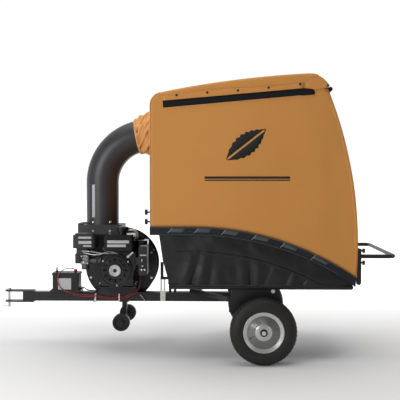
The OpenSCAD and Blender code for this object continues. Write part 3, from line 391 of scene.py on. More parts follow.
def rail_height(x, radius=RAIL_ARC_R):
    """Height of the curved side rail's top, or of a line along it at another radius."""
    centre_z = RAIL_Z - RAIL_ARC_R
    reach = max(0.0, x - RAIL_ARC_X)
    return centre_z + math.sqrt(radius ** 2 - reach ** 2)


def roof_height(x):
    """Height of the domed roof."""
    return ROOF_Z - (x - ROOF_ARC_X) ** 2 / (2 * ROOF_ARC_R)


def rear_edge(z):
    """Place of the curved rear edge at a height."""
    return REAR_ARC_X + math.sqrt(REAR_ARC_R ** 2 - (z - REAR_ARC_Z) ** 2)


def rounded(a, b, c, radius, steps):
    """Points of a corner b between a and c, rounded to a radius."""
    a, b, c = Vector(a), Vector(b), Vector(c)
    u, v = (a - b).normalized(), (c - b).normalized()
    half = math.acos(max(-1, min(1, u.dot(v)))) / 2
    centre = b + (u + v).normalized() * radius / math.sin(half)
    start = b + u * radius / math.tan(half) - centre
    end = b + v * radius / math.tan(half) - centre
    a0 = math.atan2(start.y, start.x)
    turn = math.atan2(end.y, end.x) - a0
    turn = (turn + math.pi) % (2 * math.pi) - math.pi
    angles = [a0 + turn * i / steps for i in range(steps + 1)]
    return [tuple(centre + radius * Vector((math.cos(a), math.sin(a)))) for a in angles]


def even(line, step):
    """The same line with points about a step apart."""
    points = [Vector(line[0])]
    for a, b in zip(line, line[1:]):
        a, b = Vector(a), Vector(b)
        count = max(1, round((b - a).length / step))
        points += [a.lerp(b, (i + 1) / count) for i in range(count)]
    return points


def roof_stations():
    """Points (x, z) over the roof, from the front corner to the rear break."""
    front_top = (FRONT_X, roof_height(FRONT_X))
    corner = rounded((FRONT_X, RAIL_Z), front_top, (-0.060, roof_height(-0.060)), 0.075, 8)
    top = [(x / 1000, roof_height(x / 1000)) for x in range(-60, 733, 44)]
    peak = rounded((0.732, roof_height(0.732)), ROOF_BREAK, REAR_BREAK, 0.055, 7)
    return even(corner + top + peak + [REAR_BREAK], 0.045)


def rear_stations():
    """Points (x, z) down the rear edge."""
    heights = [REAR_BREAK[1] - 0.024 + (FOOT_Z - REAR_BREAK[1] + 0.024) * i / 26 for i in range(27)]
    return [Vector((rear_edge(z), z)) for z in heights]


def inward(stations, i):
    """Unit normal of the outline at a station, towards the inside."""
    d = stations[min(i + 1, len(stations) - 1)] - stations[max(i - 1, 0)]
    d.normalize()
    return Vector((d.y, -d.x))


def sag(x, z):
    """How far the side cloth lies in from its flat plane: slack between bows and small folds."""
    for a, b in zip(SUPPORTS, SUPPORTS[1:]):
        if a <= x <= b:
            across = math.sin(math.pi * (x - a) / (b - a))
            break
    else:
        across = 0.0
    up = max(0.0, min(1.0, (z - rail_height(x)) / 0.9))
    slack = 0.0045 * across * math.sin(math.pi * min(1, up * 0.92 + 0.04)) ** 0.6 if up > 0 else 0.0
    near_rear = max(0.0, (x - 0.62) / 0.4)
    folds = 0.0016 * near_rear * math.sin(38 * (z + 0.55 * x)) * max(0.0, 1 - abs(z - 1.35) / 0.42)
    cloth = 0.0018 * noise.noise(Vector((x * 3.1, z * 2.3, 4.2)))
    fine = 0.0006 * noise.noise(Vector((x * 13, z * 9, 1.7)))
    return slack + folds + cloth + fine + 0.0012


def on_side(x, z, side, lift=0.0):
    """A point on the side cloth, lifted off it."""
    return Vector((x, side * (HALF - sag(x, z) + lift), z))


# ---------------------------------------------------------------- fabric cover

EDGE_R = 0.018


def build_cover(materials):
    """One shell: both sides, the front and the roof, with soft rounded edges."""
    roof = roof_stations()
    rows = 34
    verts, faces = [], []
    front_rows = [RAIL_Z + (roof[0].y - RAIL_Z) * j / rows for j in range(rows + 1)]
    edge_line = [Vector((FRONT_X, z)) for z in front_rows[:-1]] + roof
    turns = [(math.sin(a), math.cos(a)) for a in [math.pi / 2 * k / 3 for k in range(4)]]
    across = [-1 + 2 * k / 22 for k in range(23)]
    wrap = []
    for i, p in enumerate(edge_line):
        n = inward(edge_line, i)
        ring = []
        for s, c in turns:
            q = p + n * EDGE_R * (1 - s)
            ring.append(Vector((q.x, -(HALF - EDGE_R + EDGE_R * c), q.y)))
        for t in across[1:-1]:
            y = t * (HALF - EDGE_R)
            dip = 0.010 * (1 - t * t) * min(1, max(0, (p.x - FRONT_X - 0.05) / 0.2))
            dip += 0.0015 * noise.noise(Vector((p.x * 4, y * 4, p.y * 4)))
            q = p + n * dip
            ring.append(Vector((q.x, y, q.y)))
        ring += [Vector((v.x, -v.y, v.z)) for v in ring[len(turns) - 1::-1]]
        wrap.append(ring)
    columns = len(wrap[0])
    for ring in wrap:
        verts += ring
    faces += grid_faces(len(wrap), columns)
    outline = roof + rear_stations()
    for side in (-1, 1):
        base = len(verts)
        for i, p in enumerate(outline):
            n = inward(outline, i) if i < len(roof) else Vector((0, 0))
            top = p + n * EDGE_R
            if i == 0:
                top = Vector((FRONT_X + EDGE_R, p.y))
            x = top.x
            low = rail_height(x)
            for j in range(rows + 1):
                z = low + (max(top.y, low + 0.002) - low) * j / rows
                edge = min(1.0, (top.y - z) / 0.05, (x - FRONT_X - EDGE_R) / 0.05)
                hold = max(0.0, edge) if i < len(roof) else 1.0
                verts.append(Vector((x, side * (HALF - sag(x, z) * hold), z)))
        faces += grid_faces(len(outline), rows + 1, base)
    cover = piece("fabric_cover", verts, faces, materials["cover_fabric"], "collector", weld=0.0012)
    cut_sleeve_hole(cover)
    thicken(cover, 0.0022)
    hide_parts("cover_sides", "cover_roof", "cover_front")


SLEEVE_Z = ROOF_Z - 0.329
SLEEVE_Y = 0.160
SLEEVE_R = 0.145


def cut_sleeve_hole(cover):
    """Takes away the front faces that lie inside the sleeve's ring."""
    work = bmesh.new()
    work.from_mesh(cover.data)
    doomed = []
    for face in work.faces:
        c = face.calc_center_median()
        if c.x < FRONT_X + 0.004 and math.hypot(c.y - SLEEVE_Y, c.z - SLEEVE_Z) < SLEEVE_R - 0.028:
            doomed.append(face)
    bmesh.ops.delete(work, geom=doomed, context="FACES")
    work.to_mesh(cover.data)
    work.free()


def build_cover_trim(materials):
    """Binding down the front edges and the hem over the rails."""
    for side, word in ((-1, "left"), (1, "right")):
        roof = roof_stations()
        front = [(FRONT_X + 0.004, side * (HALF - 0.004), RAIL_Z + 0.004 + (roof[0].y - RAIL_Z) * i / 12)
                 for i in range(12)]
        corner = [(p.x + 0.004, side * (HALF - 0.004), p.y - 0.004) for p in roof if p.x < -0.14]
        tube(f"front_piping_{word}", front + corner, 0.0035, materials["fabric_binding"], "collector")
        hem = [(FRONT_X + 0.004, side * (HALF + 0.001), RAIL_Z + 0.002)]
        x = FRONT_X + 0.09
        while x < REAR_X - 0.03:
            hem.append((x, side * (HALF + 0.001), rail_height(x) + 0.002))
            x += 0.07
        hem.append((REAR_X - 0.010, side * (HALF + 0.001), rail_height(REAR_X - 0.010) + 0.002))
        tube(f"cover_hem_{word}", hem, 0.0035, materials["fabric_hem"], "collector", steps=6)


def strip_on_side(name, points_low, points_top, side, lift, material, thick=0.0012, rows=3):
    """A thin patch that lies on the side cloth between two lines of points."""
    verts = []
    for (xa, za), (xb, zb) in zip(points_low, points_top):
        for j in range(rows + 1):
            x, z = xa + (xb - xa) * j / rows, za + (zb - za) * j / rows
            verts.append(on_side(x, z, side, lift))
    obj = piece(name, verts, grid_faces(len(points_low), rows + 1), material, "collector")
    thicken(obj, thick, offset=1.0 if side > 0 else -1.0)
    return obj


def snap(name, centre, side, materials):
    """A small domed press stud on the side cloth."""
    profile = [(0, -0.002), (0.008, -0.002), (0.008, 0.001), (0.005, 0.003), (0, 0.0035)]
    revolved(name, profile, centre, (0, side, 0), materials["frame_steel"], "collector", steps=20)


def build_vents(materials):
    """The long dark mesh vent under the roof, its rolled flap above and the flap's snaps."""
    count = 40
    for side, word in ((-1, "left"), (1, "right")):
        ts = [i / count for i in range(count + 1)]
        low = [(-0.153 + t * 0.921, 1.551 + 0.080 * t) for t in ts]
        top = [(-0.155 + t * 0.923, 1.596 + 0.0788 * t - 0.20 * max(0.0, t - 0.93)) for t in ts]
        strip_on_side(f"vent_mesh_{word}", low, top, side, 0.0018, materials["vent_mesh"])
        border = [on_side(x, z, side, 0.003) for x, z in low[::4] + [top[-1]]]
        tube(f"vent_border_{word}", border, 0.0022, materials["fabric_binding"], "collector", steps=4)
        flap_low = top[:38]
        flap_top = [(x, z + 0.034 + 0.006 * math.sin(x * 9)) for x, z in flap_low]
        strip_on_side(f"vent_flap_{word}", flap_low, flap_top, side, 0.0045, materials["cover_fabric"],
                      thick=0.0018)
        flap = [(0.712, 1.684), (0.735, 1.670), (0.760, 1.660), (0.787, 1.661), (0.813, 1.666),
                (0.836, 1.672), (0.850, 1.683)]
        crest = [(0.710, 1.702), (0.735, 1.719), (0.765, 1.734), (0.795, 1.742), (0.818, 1.728),
                 (0.838, 1.708), (0.853, 1.690)]
        rough = strip_on_side(f"corner_flap_{word}", flap, crest, side, 0.0050, materials["cover_fabric"],
                              thick=0.0018, rows=7)
        for v in rough.data.vertices:
            v.co.y += side * 0.0022 * noise.noise(Vector((v.co.x * 40, 3.1, v.co.z * 40)))
        snap(f"corner_snap_{word}", (0.846, side * (HALF + 0.007), 1.683), side, materials)
        places = ((-0.070, 1.629), (0.116, 1.645), (0.302, 1.656), (0.488, 1.673), (0.678, 1.693))
        for i, (x, z) in enumerate(places):
            snap(f"flap_snap_{word}_{i}", on_side(x, z, side, 0.006), side, materials)


LEAF_CENTRE = (0.352, 1.329)
LEAF_LENGTH = 0.30
LEAF_WIDTH = 0.46 * LEAF_LENGTH / 2
LEAF_TILT = math.radians(38)
MIDRIB = 0.006


def build_prints(materials):
    """A generic toothed leaf in two halves and a plain double stripe on each side of the cover."""
    steps = 26
    for side, word in ((-1, "left"), (1, "right")):
        for part in (1, -1):
            verts = []
            for i in range(steps + 1):
                t = i / steps
                reach = LEAF_WIDTH * math.sin(math.pi * max(t, 1e-4) ** 0.8) ** 0.9
                tooth = 1.0 - 0.16 * ((i % 3) / 2)
                for w in (MIDRIB, reach * tooth * 0.5, max(MIDRIB + 0.0001, reach * tooth)):
                    u, v = (t - 0.5) * LEAF_LENGTH + w * 0.35, part * w
                    x = LEAF_CENTRE[0] + u * math.cos(LEAF_TILT) - v * math.sin(LEAF_TILT)
                    z = LEAF_CENTRE[1] + u * math.sin(LEAF_TILT) + v * math.cos(LEAF_TILT)
                    verts.append(on_side(x, z, side, 0.0007))
            name = f"leaf_print_{word}_{part + 1}"
            half = piece(name, verts, grid_faces(steps + 1, 3), materials["print_ink"], "collector")
            thicken(half, 0.0004, offset=0)
        xs = [0.100 + 0.520 * k / 30 for k in range(31)]
        for i, (z, height) in enumerate(((1.112, 0.007), (1.128, 0.014))):
            low, top = [(x, z - height / 2) for x in xs], [(x, z + height / 2) for x in xs]
            strip_on_side(f"cover_stripe_{word}_{i}", low, top, side, 0.0007, materials["print_ink"],
                          thick=0.0004, rows=1)


def build_rear_cover(materials):
    """The rear door's cloth: a curved sheet whose side edges turn forward over the door bars."""
    heights = [REAR_BREAK[1] - 0.012 + (FOOT_Z + 0.004 - REAR_BREAK[1] + 0.012) * i / 40 for i in range(41)]
    verts = []
    across = [-1 + 2 * k / 30 for k in range(31)]
    for z in heights:
        x = rear_edge(min(z, REAR_BREAK[1])) + 0.006
        row = [Vector((x - 0.022, -HALF + 0.0015, z)), Vector((x - 0.006, -HALF + 0.001, z))]
        for t in across:
            y = t * (HALF - 0.006)
            dip = 0.007 * (1 - abs(t) ** 3) * math.sin(math.pi * (z - FOOT_Z) / (REAR_BREAK[1] - FOOT_Z)) \
                + 0.0022 * noise.noise(Vector((y * 5, z * 3, 9.0)))
            row.append(Vector((x - max(0.0, dip), y, z)))
        row += [Vector((x - 0.006, HALF - 0.001, z)), Vector((x - 0.022, HALF - 0.0015, z))]
        verts += row
    obj = piece("rear_cover", verts, grid_faces(len(heights), 35), materials["cover_fabric"], "door")
    thicken(obj, 0.0020, offset=1.0)
    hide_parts("rear_panel")


def circle(centre, side, up, radius, count):
    """Points round a circle in the plane of two unit vectors."""
    angles = [2 * math.pi * k / count for k in range(count)]
    return [centre + (side * math.cos(a) + up * math.sin(a)) * radius for a in angles]


def build_sleeve(materials):
    """The gathered sleeve between the elbow and the front of the cover, with its drawstring."""
    start = Vector((-0.354, SLEEVE_Y, 1.4110))
    tilt = math.radians(11)
    axis = Vector((math.cos(tilt), 0, math.sin(tilt)))
    side = Vector((0, 1, 0))
    up = axis.cross(side) * -1
    rings, steps = 26, 120
    verts = []
    rng = random.Random(7)
    phase = [rng.uniform(0, 6.28) for _ in range(4)]
    for i in range(rings + 1):
        t = i / rings
        along = -0.026 + t * (0.026 + 0.116)
        radius = 0.114 + (SLEEVE_R - 0.114) * max(0.0, (t - 0.12) / 0.88) ** 0.62
        if t < 0.12:
            radius = 0.114 + 0.006 * math.sin(math.pi * (0.12 - t) / 0.12)
        for j in range(steps):
            a = 2 * math.pi * j / steps
            bend = a + 0.5 * math.sin(3 * t + phase[0])
            fold = 0.50 * math.sin(11 * bend + phase[1]) + 0.35 * math.sin(19 * bend + phase[2] - 4 * t)
            fold += 0.75 * noise.noise(Vector((3.2 * math.cos(a), 3.2 * math.sin(a), 5.0 * t)))
            depth = 0.013 * math.sin(math.pi * min(1, max(0.0, t - 0.02))) ** 0.7 + 0.0025
            r = radius + depth * fold
            if 0.17 < t < 0.30:
                r -= 0.006 * math.sin(math.pi * (t - 0.17) / 0.13)
            point = start + axis * along + (side * math.cos(a) + up * math.sin(a)) * r
            point.x = min(point.x, FRONT_X - 0.0005)
            if i == rings:
                point.x = FRONT_X - 0.0005
            verts.append(point)
    obj = piece("chute_sleeve_cloth", verts, grid_faces(rings + 1, steps, close_columns=True),
                materials["sleeve_fabric"], "collector")
    thicken(obj, 0.0018)
    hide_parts("chute_sleeve")
    loop = circle(start + axis * -0.012, side, up, 0.1195, 24)
    tube("sleeve_drawstring", loop, 0.0025, materials["fabric_binding"], "collector", steps=4, cyclic=True)
    inner, outer = SLEEVE_R - 0.006, SLEEVE_R + 0.006
    ring = [(inner, -0.001), (outer, -0.001), (outer, 0.002), (inner, 0.002)]
    revolved("sleeve_ring", ring, (FRONT_X, SLEEVE_Y, SLEEVE_Z), (-1, 0, 0), materials["fabric_binding"],
             "collector", steps=64)


# ---------------------------------------------------------------- hammock and rails

TUB_HALF = HALF - 0.015
TUB_FRONT = ((-0.179, 0.777), (-0.157, 0.620), (-0.118, 0.478))


def tub_front_x(z):
    """Place of the hammock's slanted front at a height."""
    for (xa, za), (xb, zb) in zip(TUB_FRONT, TUB_FRONT[1:]):
        if za >= z >= zb:
            return xa + (xb - xa) * (za - z) / (za - zb)
    return TUB_FRONT[0][0] if z > TUB_FRONT[0][1] else TUB_FRONT[-1][0]


TUB_CREASES = ((0.030, 0.30, 0.011), (0.135, 0.12, 0.005), (0.383, -0.05, 0.012), (0.47, 0.35, 0.005),
               (0.600, 0.30, 0.006), (0.700, 0.45, 0.005))


def tub_relief(x, z):
    """Bulges and creases of the vinyl side, outwards."""
    low, high = BASE_Z, rail_height(x, RAIL_ARC_R - 0.05)
    t = max(0.0, min(1.0, (z - low) / max(0.02, high - low)))
    belly = 0.006 * math.sin(math.pi * t) * math.sin(math.pi * min(1, max(0, (x + 0.16) / 1.15)))
    folds = 0.0
    for centre, lean, depth in TUB_CREASES:
        d = x - centre - lean * 0.30 * (t - 0.2)
        near = math.exp(-((t - 0.20) / 0.34) ** 2)
        folds -= depth * near * math.exp(-(d / 0.014) ** 2)
        banks = math.exp(-((d - 0.046) / 0.030) ** 2) + math.exp(-((d + 0.046) / 0.030) ** 2)
        folds += depth * 0.75 * near * banks
    above_seam = z - rail_height(x, 1.614)
    seam = -0.0028 * math.exp(-(above_seam / 0.004) ** 2)
    seam += 0.0022 * math.exp(-((above_seam + 0.011) / 0.006) ** 2)
    wander = 0.0060 * noise.noise(Vector((x * 6 + z * 2, z * 8, 2.0)))
    wander += 0.0028 * noise.noise(Vector((x * 17 + z * 6, z * 15, 5.0)))
    return max(-0.010, min(0.0150, belly + folds + seam + wander))


def build_tub(materials):
    """The vinyl hammock: two bulging sides, the front and the sagging floor, as one shell."""
    columns, rows = 190, 64
    verts, faces = [], []
    for side in (-1, 1):
        base = len(verts)
        for i in range(columns + 1):
            u = i / columns
            for j in range(rows + 1):
                t = j / rows
                x_mid = -0.118 + u * (1.003 + 0.118)
                top = rail_height(x_mid, RAIL_ARC_R - 0.05) + 0.004
                z = BASE_Z + 0.001 + max(0.004, top - BASE_Z - 0.001) * t
                x = x_mid + (tub_front_x(z) + 0.118) * max(0.0, 1 - u / 0.35)
                y = TUB_HALF + tub_relief(x, z) * min(1, u / 0.05 + 0.2)
                verts.append(Vector((x, side * y, z)))
        faces += grid_faces(columns + 1, rows + 1, base)
    base = len(verts)
    for i in range(rows + 1):
        z = BASE_Z - 0.004 + (TUB_FRONT[0][1] + 0.004 - BASE_Z + 0.004) * i / rows
        for k in range(41):
            t = -1 + 2 * k / 40
            y = t * TUB_HALF * 0.9995
            x = tub_front_x(z) - 0.008 * (1 - t * t) * math.sin(math.pi * i / rows)
            verts.append(Vector((x + 0.0012 * noise.noise(Vector((y * 6, z * 6, 3))), y, z)))
    faces += grid_faces(rows + 1, 41, base)
    base = len(verts)
    for i in range(41):
        x = -0.116 + (1.000 + 0.116) * i / 40
        for k in range(31):
            t = -1 + 2 * k / 30
            dip = 0.003 * (1 - t * t) * math.sin(math.pi * i / 40)
            verts.append(Vector((x, t * (TUB_HALF - 0.004), BASE_Z - dip + 0.006)))
    faces += grid_faces(41, 31, base)
    tub = piece("vinyl_hammock", verts, faces, materials["tub_vinyl"], "collector", weld=0.0008)
    thicken(tub, 0.0018, offset=0)
    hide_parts("hammock")
    for side, word in ((-1, "left"), (1, "right")):
        lower = [(-0.110 + 1.10 * k / 20, side * (TUB_HALF + 0.004), BASE_Z + 0.008) for k in range(21)]
        tube(f"hammock_hem_{word}", lower, 0.004, materials["tub_vinyl"], "collector", steps=4)


RAIL_PANEL = 0.085


def build_rail_marks(materials):
    """Recessed panels with slanted ends, light edges and rivets on the curved side rails."""
    outer = rail_high[1]
    starts = (-0.110, 0.052, 0.218, 0.404, 0.578, 0.765)
    for side, word in ((-1, "left"), (1, "right")):
        for i, x0 in enumerate(starts):
            verts = []
            for k in range(7):
                x = x0 + RAIL_PANEL * k / 6
                for lean, drop in ((0.010, 0.008), (-0.012, 0.032)):
                    verts.append(Vector((x + lean, side * (outer + 0.0004), rail_height(x + lean) - drop)))
            panel = piece(f"rail_panel_{word}_{i}", verts, grid_faces(7, 2), materials["rail_panel"],
                          "collector")
            thicken(panel, 0.0006, offset=0)
            mark = [(x0 + along, side * (outer + 0.0008), rail_height(x0) - drop)
                    for along, drop in ((0.012, 0.007), (-0.016, 0.036))]
            tube(f"rail_mark_{word}_{i}", mark, 0.0019, materials["rail_mark"], "collector", steps=2)
            revolved(f"rail_rivet_{word}_{i}", [(0, 0), (0.006, 0), (0.0055, 0.002), (0, 0.003)],
                     (x0 - 0.035, side * outer, rail_height(x0 - 0.035) - 0.024), (0, side, 0),
                     materials["frame_steel"], "collector", steps=16)
        for edge, drop in (("low", 0.048), ("high", 0.005)):
            xs = [FRONT_X + 0.01 + 0.06 * k for k in range(20)]
            line = [(x, side * (outer + 0.0002), rail_height(x) - drop) for x in xs]
            tube(f"rail_edge_{word}_{edge}", line, 0.0015, materials["rail_panel"], "collector", steps=4)


# ---------------------------------------------------------------- wheels

TREAD_BLOCKS = 48
TREAD_DEPTH = 0.0045


def build_tyres(materials):
    """Tyres with a ribbed sidewall and blocks cut into the tread, and the rims' pressed faces."""
    for word, side in (("left", -1), ("right", 1)):
        wheel, outward = f"wheel_{word[0]}", (0, side, 0)
        low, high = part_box(f"tyre_{word}")
        centre = Vector([(low[i] + high[i]) / 2 for i in range(3)])
        outer = (high[2] - low[2]) / 2
        half = (high[1] - low[1]) / 2
        profile = [(0.1025, -0.041), (0.1215, -0.0475), (0.1245, -0.0535), (0.1285, half * -0.965),
                   (0.1335, half * -0.940), (0.138, half * -0.985), (0.152, -half), (0.166, half * -0.985),
                   (0.1685, half * -0.955), (0.174, half * -0.955), (0.186, half * -0.86),
                   (0.194, half * -0.74), (outer - 0.005, half * -0.62), (outer - 0.001, half * -0.42),
                   (outer, half * -0.2)]
        profile += [(r, -y) for r, y in reversed(profile)]
        inner = [(0.118, 0.048), (0.160, 0.053), (0.190, 0.030)]
        inner += [(r, -y) for r, y in reversed(inner)]
        steps = 288
        verts = []
        for r, y in profile + inner:
            for j in range(steps):
                a = 2 * math.pi * j / steps
                cut = 0.0
                if r > 0.191:
                    shift = 2 * math.pi / TREAD_BLOCKS * (y / half) * 1.2
                    block = ((a + shift) / (2 * math.pi) * TREAD_BLOCKS) % 1
                    cut = TREAD_DEPTH if block < 0.28 else 0.0
                verts.append(centre + Vector(((r - cut) * math.cos(a), y, (r - cut) * math.sin(a))))
        count = len(profile) + len(inner)
        faces = grid_faces(count, steps, close_columns=True)
        last = (count - 1) * steps
        faces += [(last + j, last + (j + 1) % steps, (j + 1) % steps, j) for j in range(steps)]
        tyre = piece(f"tyre_{word}_tread", verts, faces, materials["tyre_rubber"], wheel, weld=0.00001)
        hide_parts(f"tyre_{word}")
        rim_low, rim_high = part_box(f"rim_{word}")
        face_y = centre.y + side * 0.031
        dome = [(0.0225, 0.020), (0.034, 0.0205), (0.046, 0.017), (0.058, 0.0105), (0.064, 0.0095),
                (0.074, 0.001), (0.084, -0.007), (0.088, -0.0078), (0.093, -0.003), (0.0965, 0.006),
                (0.0985, 0.0155)]
        back = [(r - 0.0005, y - 0.002) for r, y in reversed(dome)]
        revolved(f"rim_dome_{word}", dome + back, (centre.x, face_y, centre.z), outward,
                 materials["rim_paint"], wheel, steps=96)
        lip = [(0.0985, 0.0455), (0.1035, 0.0475), (0.112, 0.0500), (0.119, 0.0535), (0.1225, 0.0545),
               (0.1235, 0.0525), (0.1215, 0.0515), (0.112, 0.0478), (0.0985, 0.0440), (0.0985, 0.0455)]
        revolved(f"rim_lip_{word}", lip, centre, outward, materials["rim_paint"], wheel, steps=96)
        stem = [(0, -0.010), (0.0045, -0.010), (0.0040, 0.012), (0.0030, 0.014), (0, 0.014)]
        revolved(f"valve_{word}", stem, centre + Vector((-0.074, side * 0.036, -0.034)),
                 (-0.45, side * 0.9, -0.1), materials["rubber"], wheel, steps=16)
        cap = [(0.0140, 0.000), (0.0225, 0.000), (0.0225, 0.007), (0.020, 0.009), (0.0140, 0.009)]
        revolved(f"hub_cap_{word}", cap, (centre.x, rim_high[1] if side > 0 else rim_low[1], centre.z),
                 outward, materials["frame_steel"], "chassis", steps=40)


# ---------------------------------------------------------------- engine, duct and battery

CRANK_X, CRANK_Z = -0.478, 0.532
DUCT_X, DUCT_Y, DUCT_R = -0.617, 0.160, 0.110
ELBOW_Z, ELBOW_R, ELBOW_TURN = 1.092, 0.325, 79


def build_duct_dress(materials):
    """The duct's blank label, its two screws, the seam that follows the elbow, and the foot's ear."""
    x, y, r = DUCT_X, DUCT_Y, DUCT_R
    low, high, width, rows = 0.855, 1.079, 0.024, 24
    verts = []
    for k in range(rows + 1):
        z = low + (high - low) * k / rows
        for j in range(5):
            a = math.radians(244) + (j / 4 - 0.5) * width / r
            verts.append(Vector((x + (r + 0.0007) * math.cos(a), y + (r + 0.0007) * math.sin(a), z)))
    strip = piece("duct_label", verts, grid_faces(rows + 1, 5), materials["label"], "chassis")
    thicken(strip, 0.0005, offset=0)
    screw = [(0, -0.003), (0.010, -0.003), (0.010, 0.003), (0.007, 0.006), (0, 0.0065)]
    for i, dx in enumerate((-0.050, 0.064)):
        place = (x + dx, y - math.sqrt(r * r - dx * dx), 0.822)
        revolved(f"duct_screw_{i}", screw, place, (dx * 3, -1, 0), materials["zinc_steel"], "chassis",
                 steps=20)
    seam_at = math.radians(335)
    across, along = (r + 0.0005) * math.cos(seam_at), (r + 0.0005) * math.sin(seam_at)
    seam = [(x + across, y + along, 0.812 + 0.279 * k / 8) for k in range(9)]
    inner = ELBOW_R - across
    for k in range(1, 15):
        phi = math.radians(ELBOW_TURN * k / 14)
        seam.append((x + ELBOW_R - inner * math.cos(phi), y + along, ELBOW_Z + inner * math.sin(phi)))
    tube("duct_seam", seam, 0.0030, materials["black_plastic"], "chassis", steps=4)
    bevelled_box("duct_foot_ear", (-0.774, 0.058, 0.738), (-0.742, 0.250, 0.816), 0.004,
                 materials["duct_plastic"], "chassis")


def build_battery_dress(materials):
    """The battery's label and ribs, the leads along the beam, and what holds them."""
    low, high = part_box("battery")
    bevelled_box("battery_label", (-0.887, low[1] - 0.0012, 0.380), (-0.799, low[1] + 0.001, 0.455), 0.0004,
                 materials["label"], "chassis")
    for i in range(5):
        z = 0.385 + i * 0.013
        bevelled_box(f"battery_rib_{i}", (-0.794, low[1] - 0.001, z), (-0.759, low[1] + 0.002, z + 0.005),
                     0.001, materials["black_plastic"], "chassis")
    red = [(-300, -170, 496), (-304, -130, 492), (-318, -80, 486), (-336, -50, 468), (-340, -42, 430),
           (-355, -40, 384), (-402, -40, 348), (-470, -40, 327), (-536, -42, 326), (-602, -50, 335),
           (-635, -54, 341), (-726, -54, 345), (-759, -62, 350), (-786, -68, 357), (-836, -70, 374),
           (-870, -70, 396), (-886, -68, 430), (-886, -66, 458), (-874, -64, 490), (-848, -50, 513),
           (-816, -36, 520), (-786, -26, 515), (-775, -22, 507)]
    black = [(-899, -22, 507), (-904, 0, 516), (-916, 46, 513), (-922, 66, 488), (-923, 68, 440),
             (-904, 68, 396), (-854, 68, 384), (-794, 68, 382), (-740, 68, 378), (-726, 60, 373),
             (-712, 36, 368), (-684, 8, 366), (-606, 0, 366)]
    to_m = [[tuple(c / 1000 for c in p) for p in line] for line in (red, black)]
    lead = tube("red_battery_lead", to_m[0], 0.0030, materials["red_lead"], "chassis", steps=8)
    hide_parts("battery_leads")
    second = [(x + 0.002, y - 0.006, z - 0.009) for x, y, z in to_m[0][3:14]]
    tube("control_lead", second, 0.0022, materials["red_lead"], "chassis", steps=8)
    earth = tube("black_battery_lead", to_m[1], 0.0035, materials["black_plastic"], "chassis", steps=8)
    for i, x in enumerate((-0.638, -0.479)):
        bevelled_box(f"cable_tie_{i}", (x - 0.004, -0.050, 0.296), (x + 0.004, -0.030, 0.352), 0.0015,
                     materials["white_tie"], "chassis")
    revolved("red_terminal_boot", [(0, 0), (0.012, 0), (0.012, 0.010), (0.008, 0.016), (0, 0.017)],
             (-0.775, -0.022, high[2] - 0.006), (0, 0, 1), materials["red_lead"], "chassis", steps=24)


def build_starter_rope(materials):
    """The rope between the starter cover and its grip, attached to no body."""
    tilt = math.radians(15)
    pull = Vector((-math.cos(tilt), 0, math.sin(tilt)))
    root = Vector((CRANK_X, -0.219, 0.566))
    start, end = root + pull * 0.101, root + pull * 0.119
    side, up = Vector((0, 1, 0)), pull.cross(Vector((0, 1, 0)))
    verts, rows, steps = [], 40, 12
    for i in range(rows + 1):
        for j in range(steps):
            a = 2 * math.pi * j / steps
            verts.append(start.lerp(end, i / rows) + (side * math.cos(a) + up * math.sin(a)) * 0.002)
    faces = grid_faces(rows + 1, steps, close_columns=True)
    faces += [tuple(range(steps))[::-1], tuple(rows * steps + j for j in range(steps))]
    rope = piece("starter_rope_line", verts, faces, materials["rubber"], None)
    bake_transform(rope)
    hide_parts("starter_rope")


def stud(name, size, height, place, steps, materials):
    """A screw head or push button that faces the viewer's side of the machine."""
    profile = [(0, 0), (size, 0), (size, height), (size * 0.6, height + 0.002), (0, height + 0.002)]
    revolved(name, profile, place, (0, -1, 0), materials["zinc_steel"], "chassis", steps=steps)


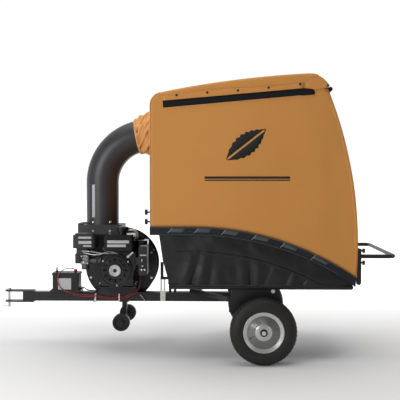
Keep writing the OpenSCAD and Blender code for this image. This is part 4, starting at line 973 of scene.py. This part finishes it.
def build_engine_dress(materials):
    """The starter's face, the blank labels, the linkage and the small parts round the carburettor."""
    facing = (0, -1, 0)
    badge = (CRANK_X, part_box("recoil_cover")[0][1] - 0.001, CRANK_Z)
    ring = [(0.029, -0.001), (0.037, -0.001), (0.037, 0.0022), (0.036, 0.003), (0.030, 0.003),
            (0.029, 0.0022)]
    revolved("starter_badge_ring", ring, badge, facing, materials["label"], "chassis", steps=64)
    core = [(0, -0.001), (0.028, -0.001), (0.028, 0.001), (0.012, 0.0012), (0.012, 0.0025), (0, 0.0025)]
    revolved("starter_badge_core", core, badge, facing, materials["black_plastic"], "chassis", steps=48)
    for i, (r, y) in enumerate(((0.060, -0.247), (0.074, -0.246), (0.088, -0.240), (0.100, -0.232))):
        points = circle(Vector((CRANK_X, y, CRANK_Z)), Vector((1, 0, 0)), Vector((0, 0, 1)), r, 32)
        tube(f"starter_rib_{i}", points, 0.0024, materials["engine_paint"], "chassis", steps=3, cyclic=True)
    bolt = [(0, -0.002), (0.0065, -0.002), (0.0065, 0.004), (0, 0.005)]
    for i, turn in enumerate((33, 144, 276)):
        a = math.radians(turn)
        place = (CRANK_X + 0.098 * math.cos(a), -0.234, CRANK_Z + 0.098 * math.sin(a))
        revolved(f"starter_bolt_{i}", bolt, place, facing, materials["zinc_steel"], "chassis", steps=12)
    tank_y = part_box("fuel_tank")[0][1]
    for i, (x1, z0, z1) in enumerate(((-0.392, 0.703, 0.722), (-0.412, 0.679, 0.696))):
        bevelled_box(f"tank_label_{i}", (-0.534, tank_y - 0.0012, z0), (x1, tank_y + 0.004, z1), 0.0005,
                     materials["label"], "chassis")
    cleaner_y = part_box("air_cleaner")[0][1]
    for i, (z0, z1) in enumerate(((0.732, 0.745), (0.698, 0.717), (0.680, 0.689))):
        bevelled_box(f"cleaner_label_{i}", (-0.722 + 0.03 * (i == 2), cleaner_y - 0.0010, z0),
                     (-0.638, cleaner_y + 0.003, z1), 0.0004, materials["label"], "chassis")
    bevelled_box("choke_box", (-0.752, -0.168, 0.566), (-0.7165, -0.105, 0.632), 0.006,
                 materials["grey_plastic"], "chassis")
    rods = [[(-0.700, -0.200, 0.652), (-0.640, -0.206, 0.648), (-0.560, -0.208, 0.636),
             (-0.470, -0.209, 0.640)],
            [(-0.690, -0.196, 0.640), (-0.600, -0.210, 0.628), (-0.520, -0.211, 0.648),
             (-0.430, -0.211, 0.622)]]
    for i, points in enumerate(rods):
        tube(f"governor_rod_{i}", points, 0.0022, materials["zinc_steel"], "chassis", steps=6)
    guard = [(-0.420, -0.118, 0.778), (-0.380, -0.120, 0.782), (-0.352, -0.120, 0.768),
             (-0.346, -0.118, 0.730)]
    tube("muffler_guard", guard, 0.008, materials["engine_casting"], "chassis", steps=8)
    for i in range(7):
        z = 0.566 + i * 0.0085
        bevelled_box(f"carburettor_fin_{i}", (-0.712, -0.176, z), (-0.668, -0.120, z + 0.004), 0.001,
                     materials["engine_casting"], "chassis")
    screws = ((-0.707, 0.616, 0.006), (-0.670, 0.616, 0.005), (-0.692, 0.578, 0.008), (-0.668, 0.570, 0.005))
    for i, (x, z, size) in enumerate(screws):
        stud(f"carburettor_screw_{i}", size, 0.005, (x, -0.177, z), 14, materials)
    front = -0.250
    buttons = ((-0.306, 0.538, 0.007), (-0.286, 0.538, 0.007), (-0.300, 0.562, 0.006))
    for i, (x, z, size) in enumerate(buttons):
        stud(f"panel_button_{i}", size, 0.008, (x, front - 0.006, z), 18, materials)
    bevelled_box("panel_label", (-0.318, front - 0.0012, 0.626), (-0.276, front + 0.001, 0.634), 0.0003,
                 materials["label"], "chassis")


# ---------------------------------------------------------------- run

add_camera()
add_lights()
add_floor()
materials = make_materials()
paint_cad_nodes(materials)
build_cover(materials)
build_cover_trim(materials)
build_vents(materials)
build_prints(materials)
build_rear_cover(materials)
build_sleeve(materials)
build_tub(materials)
build_rail_marks(materials)
build_tyres(materials)
build_duct_dress(materials)
build_battery_dress(materials)
build_engine_dress(materials)
build_starter_rope(materials)
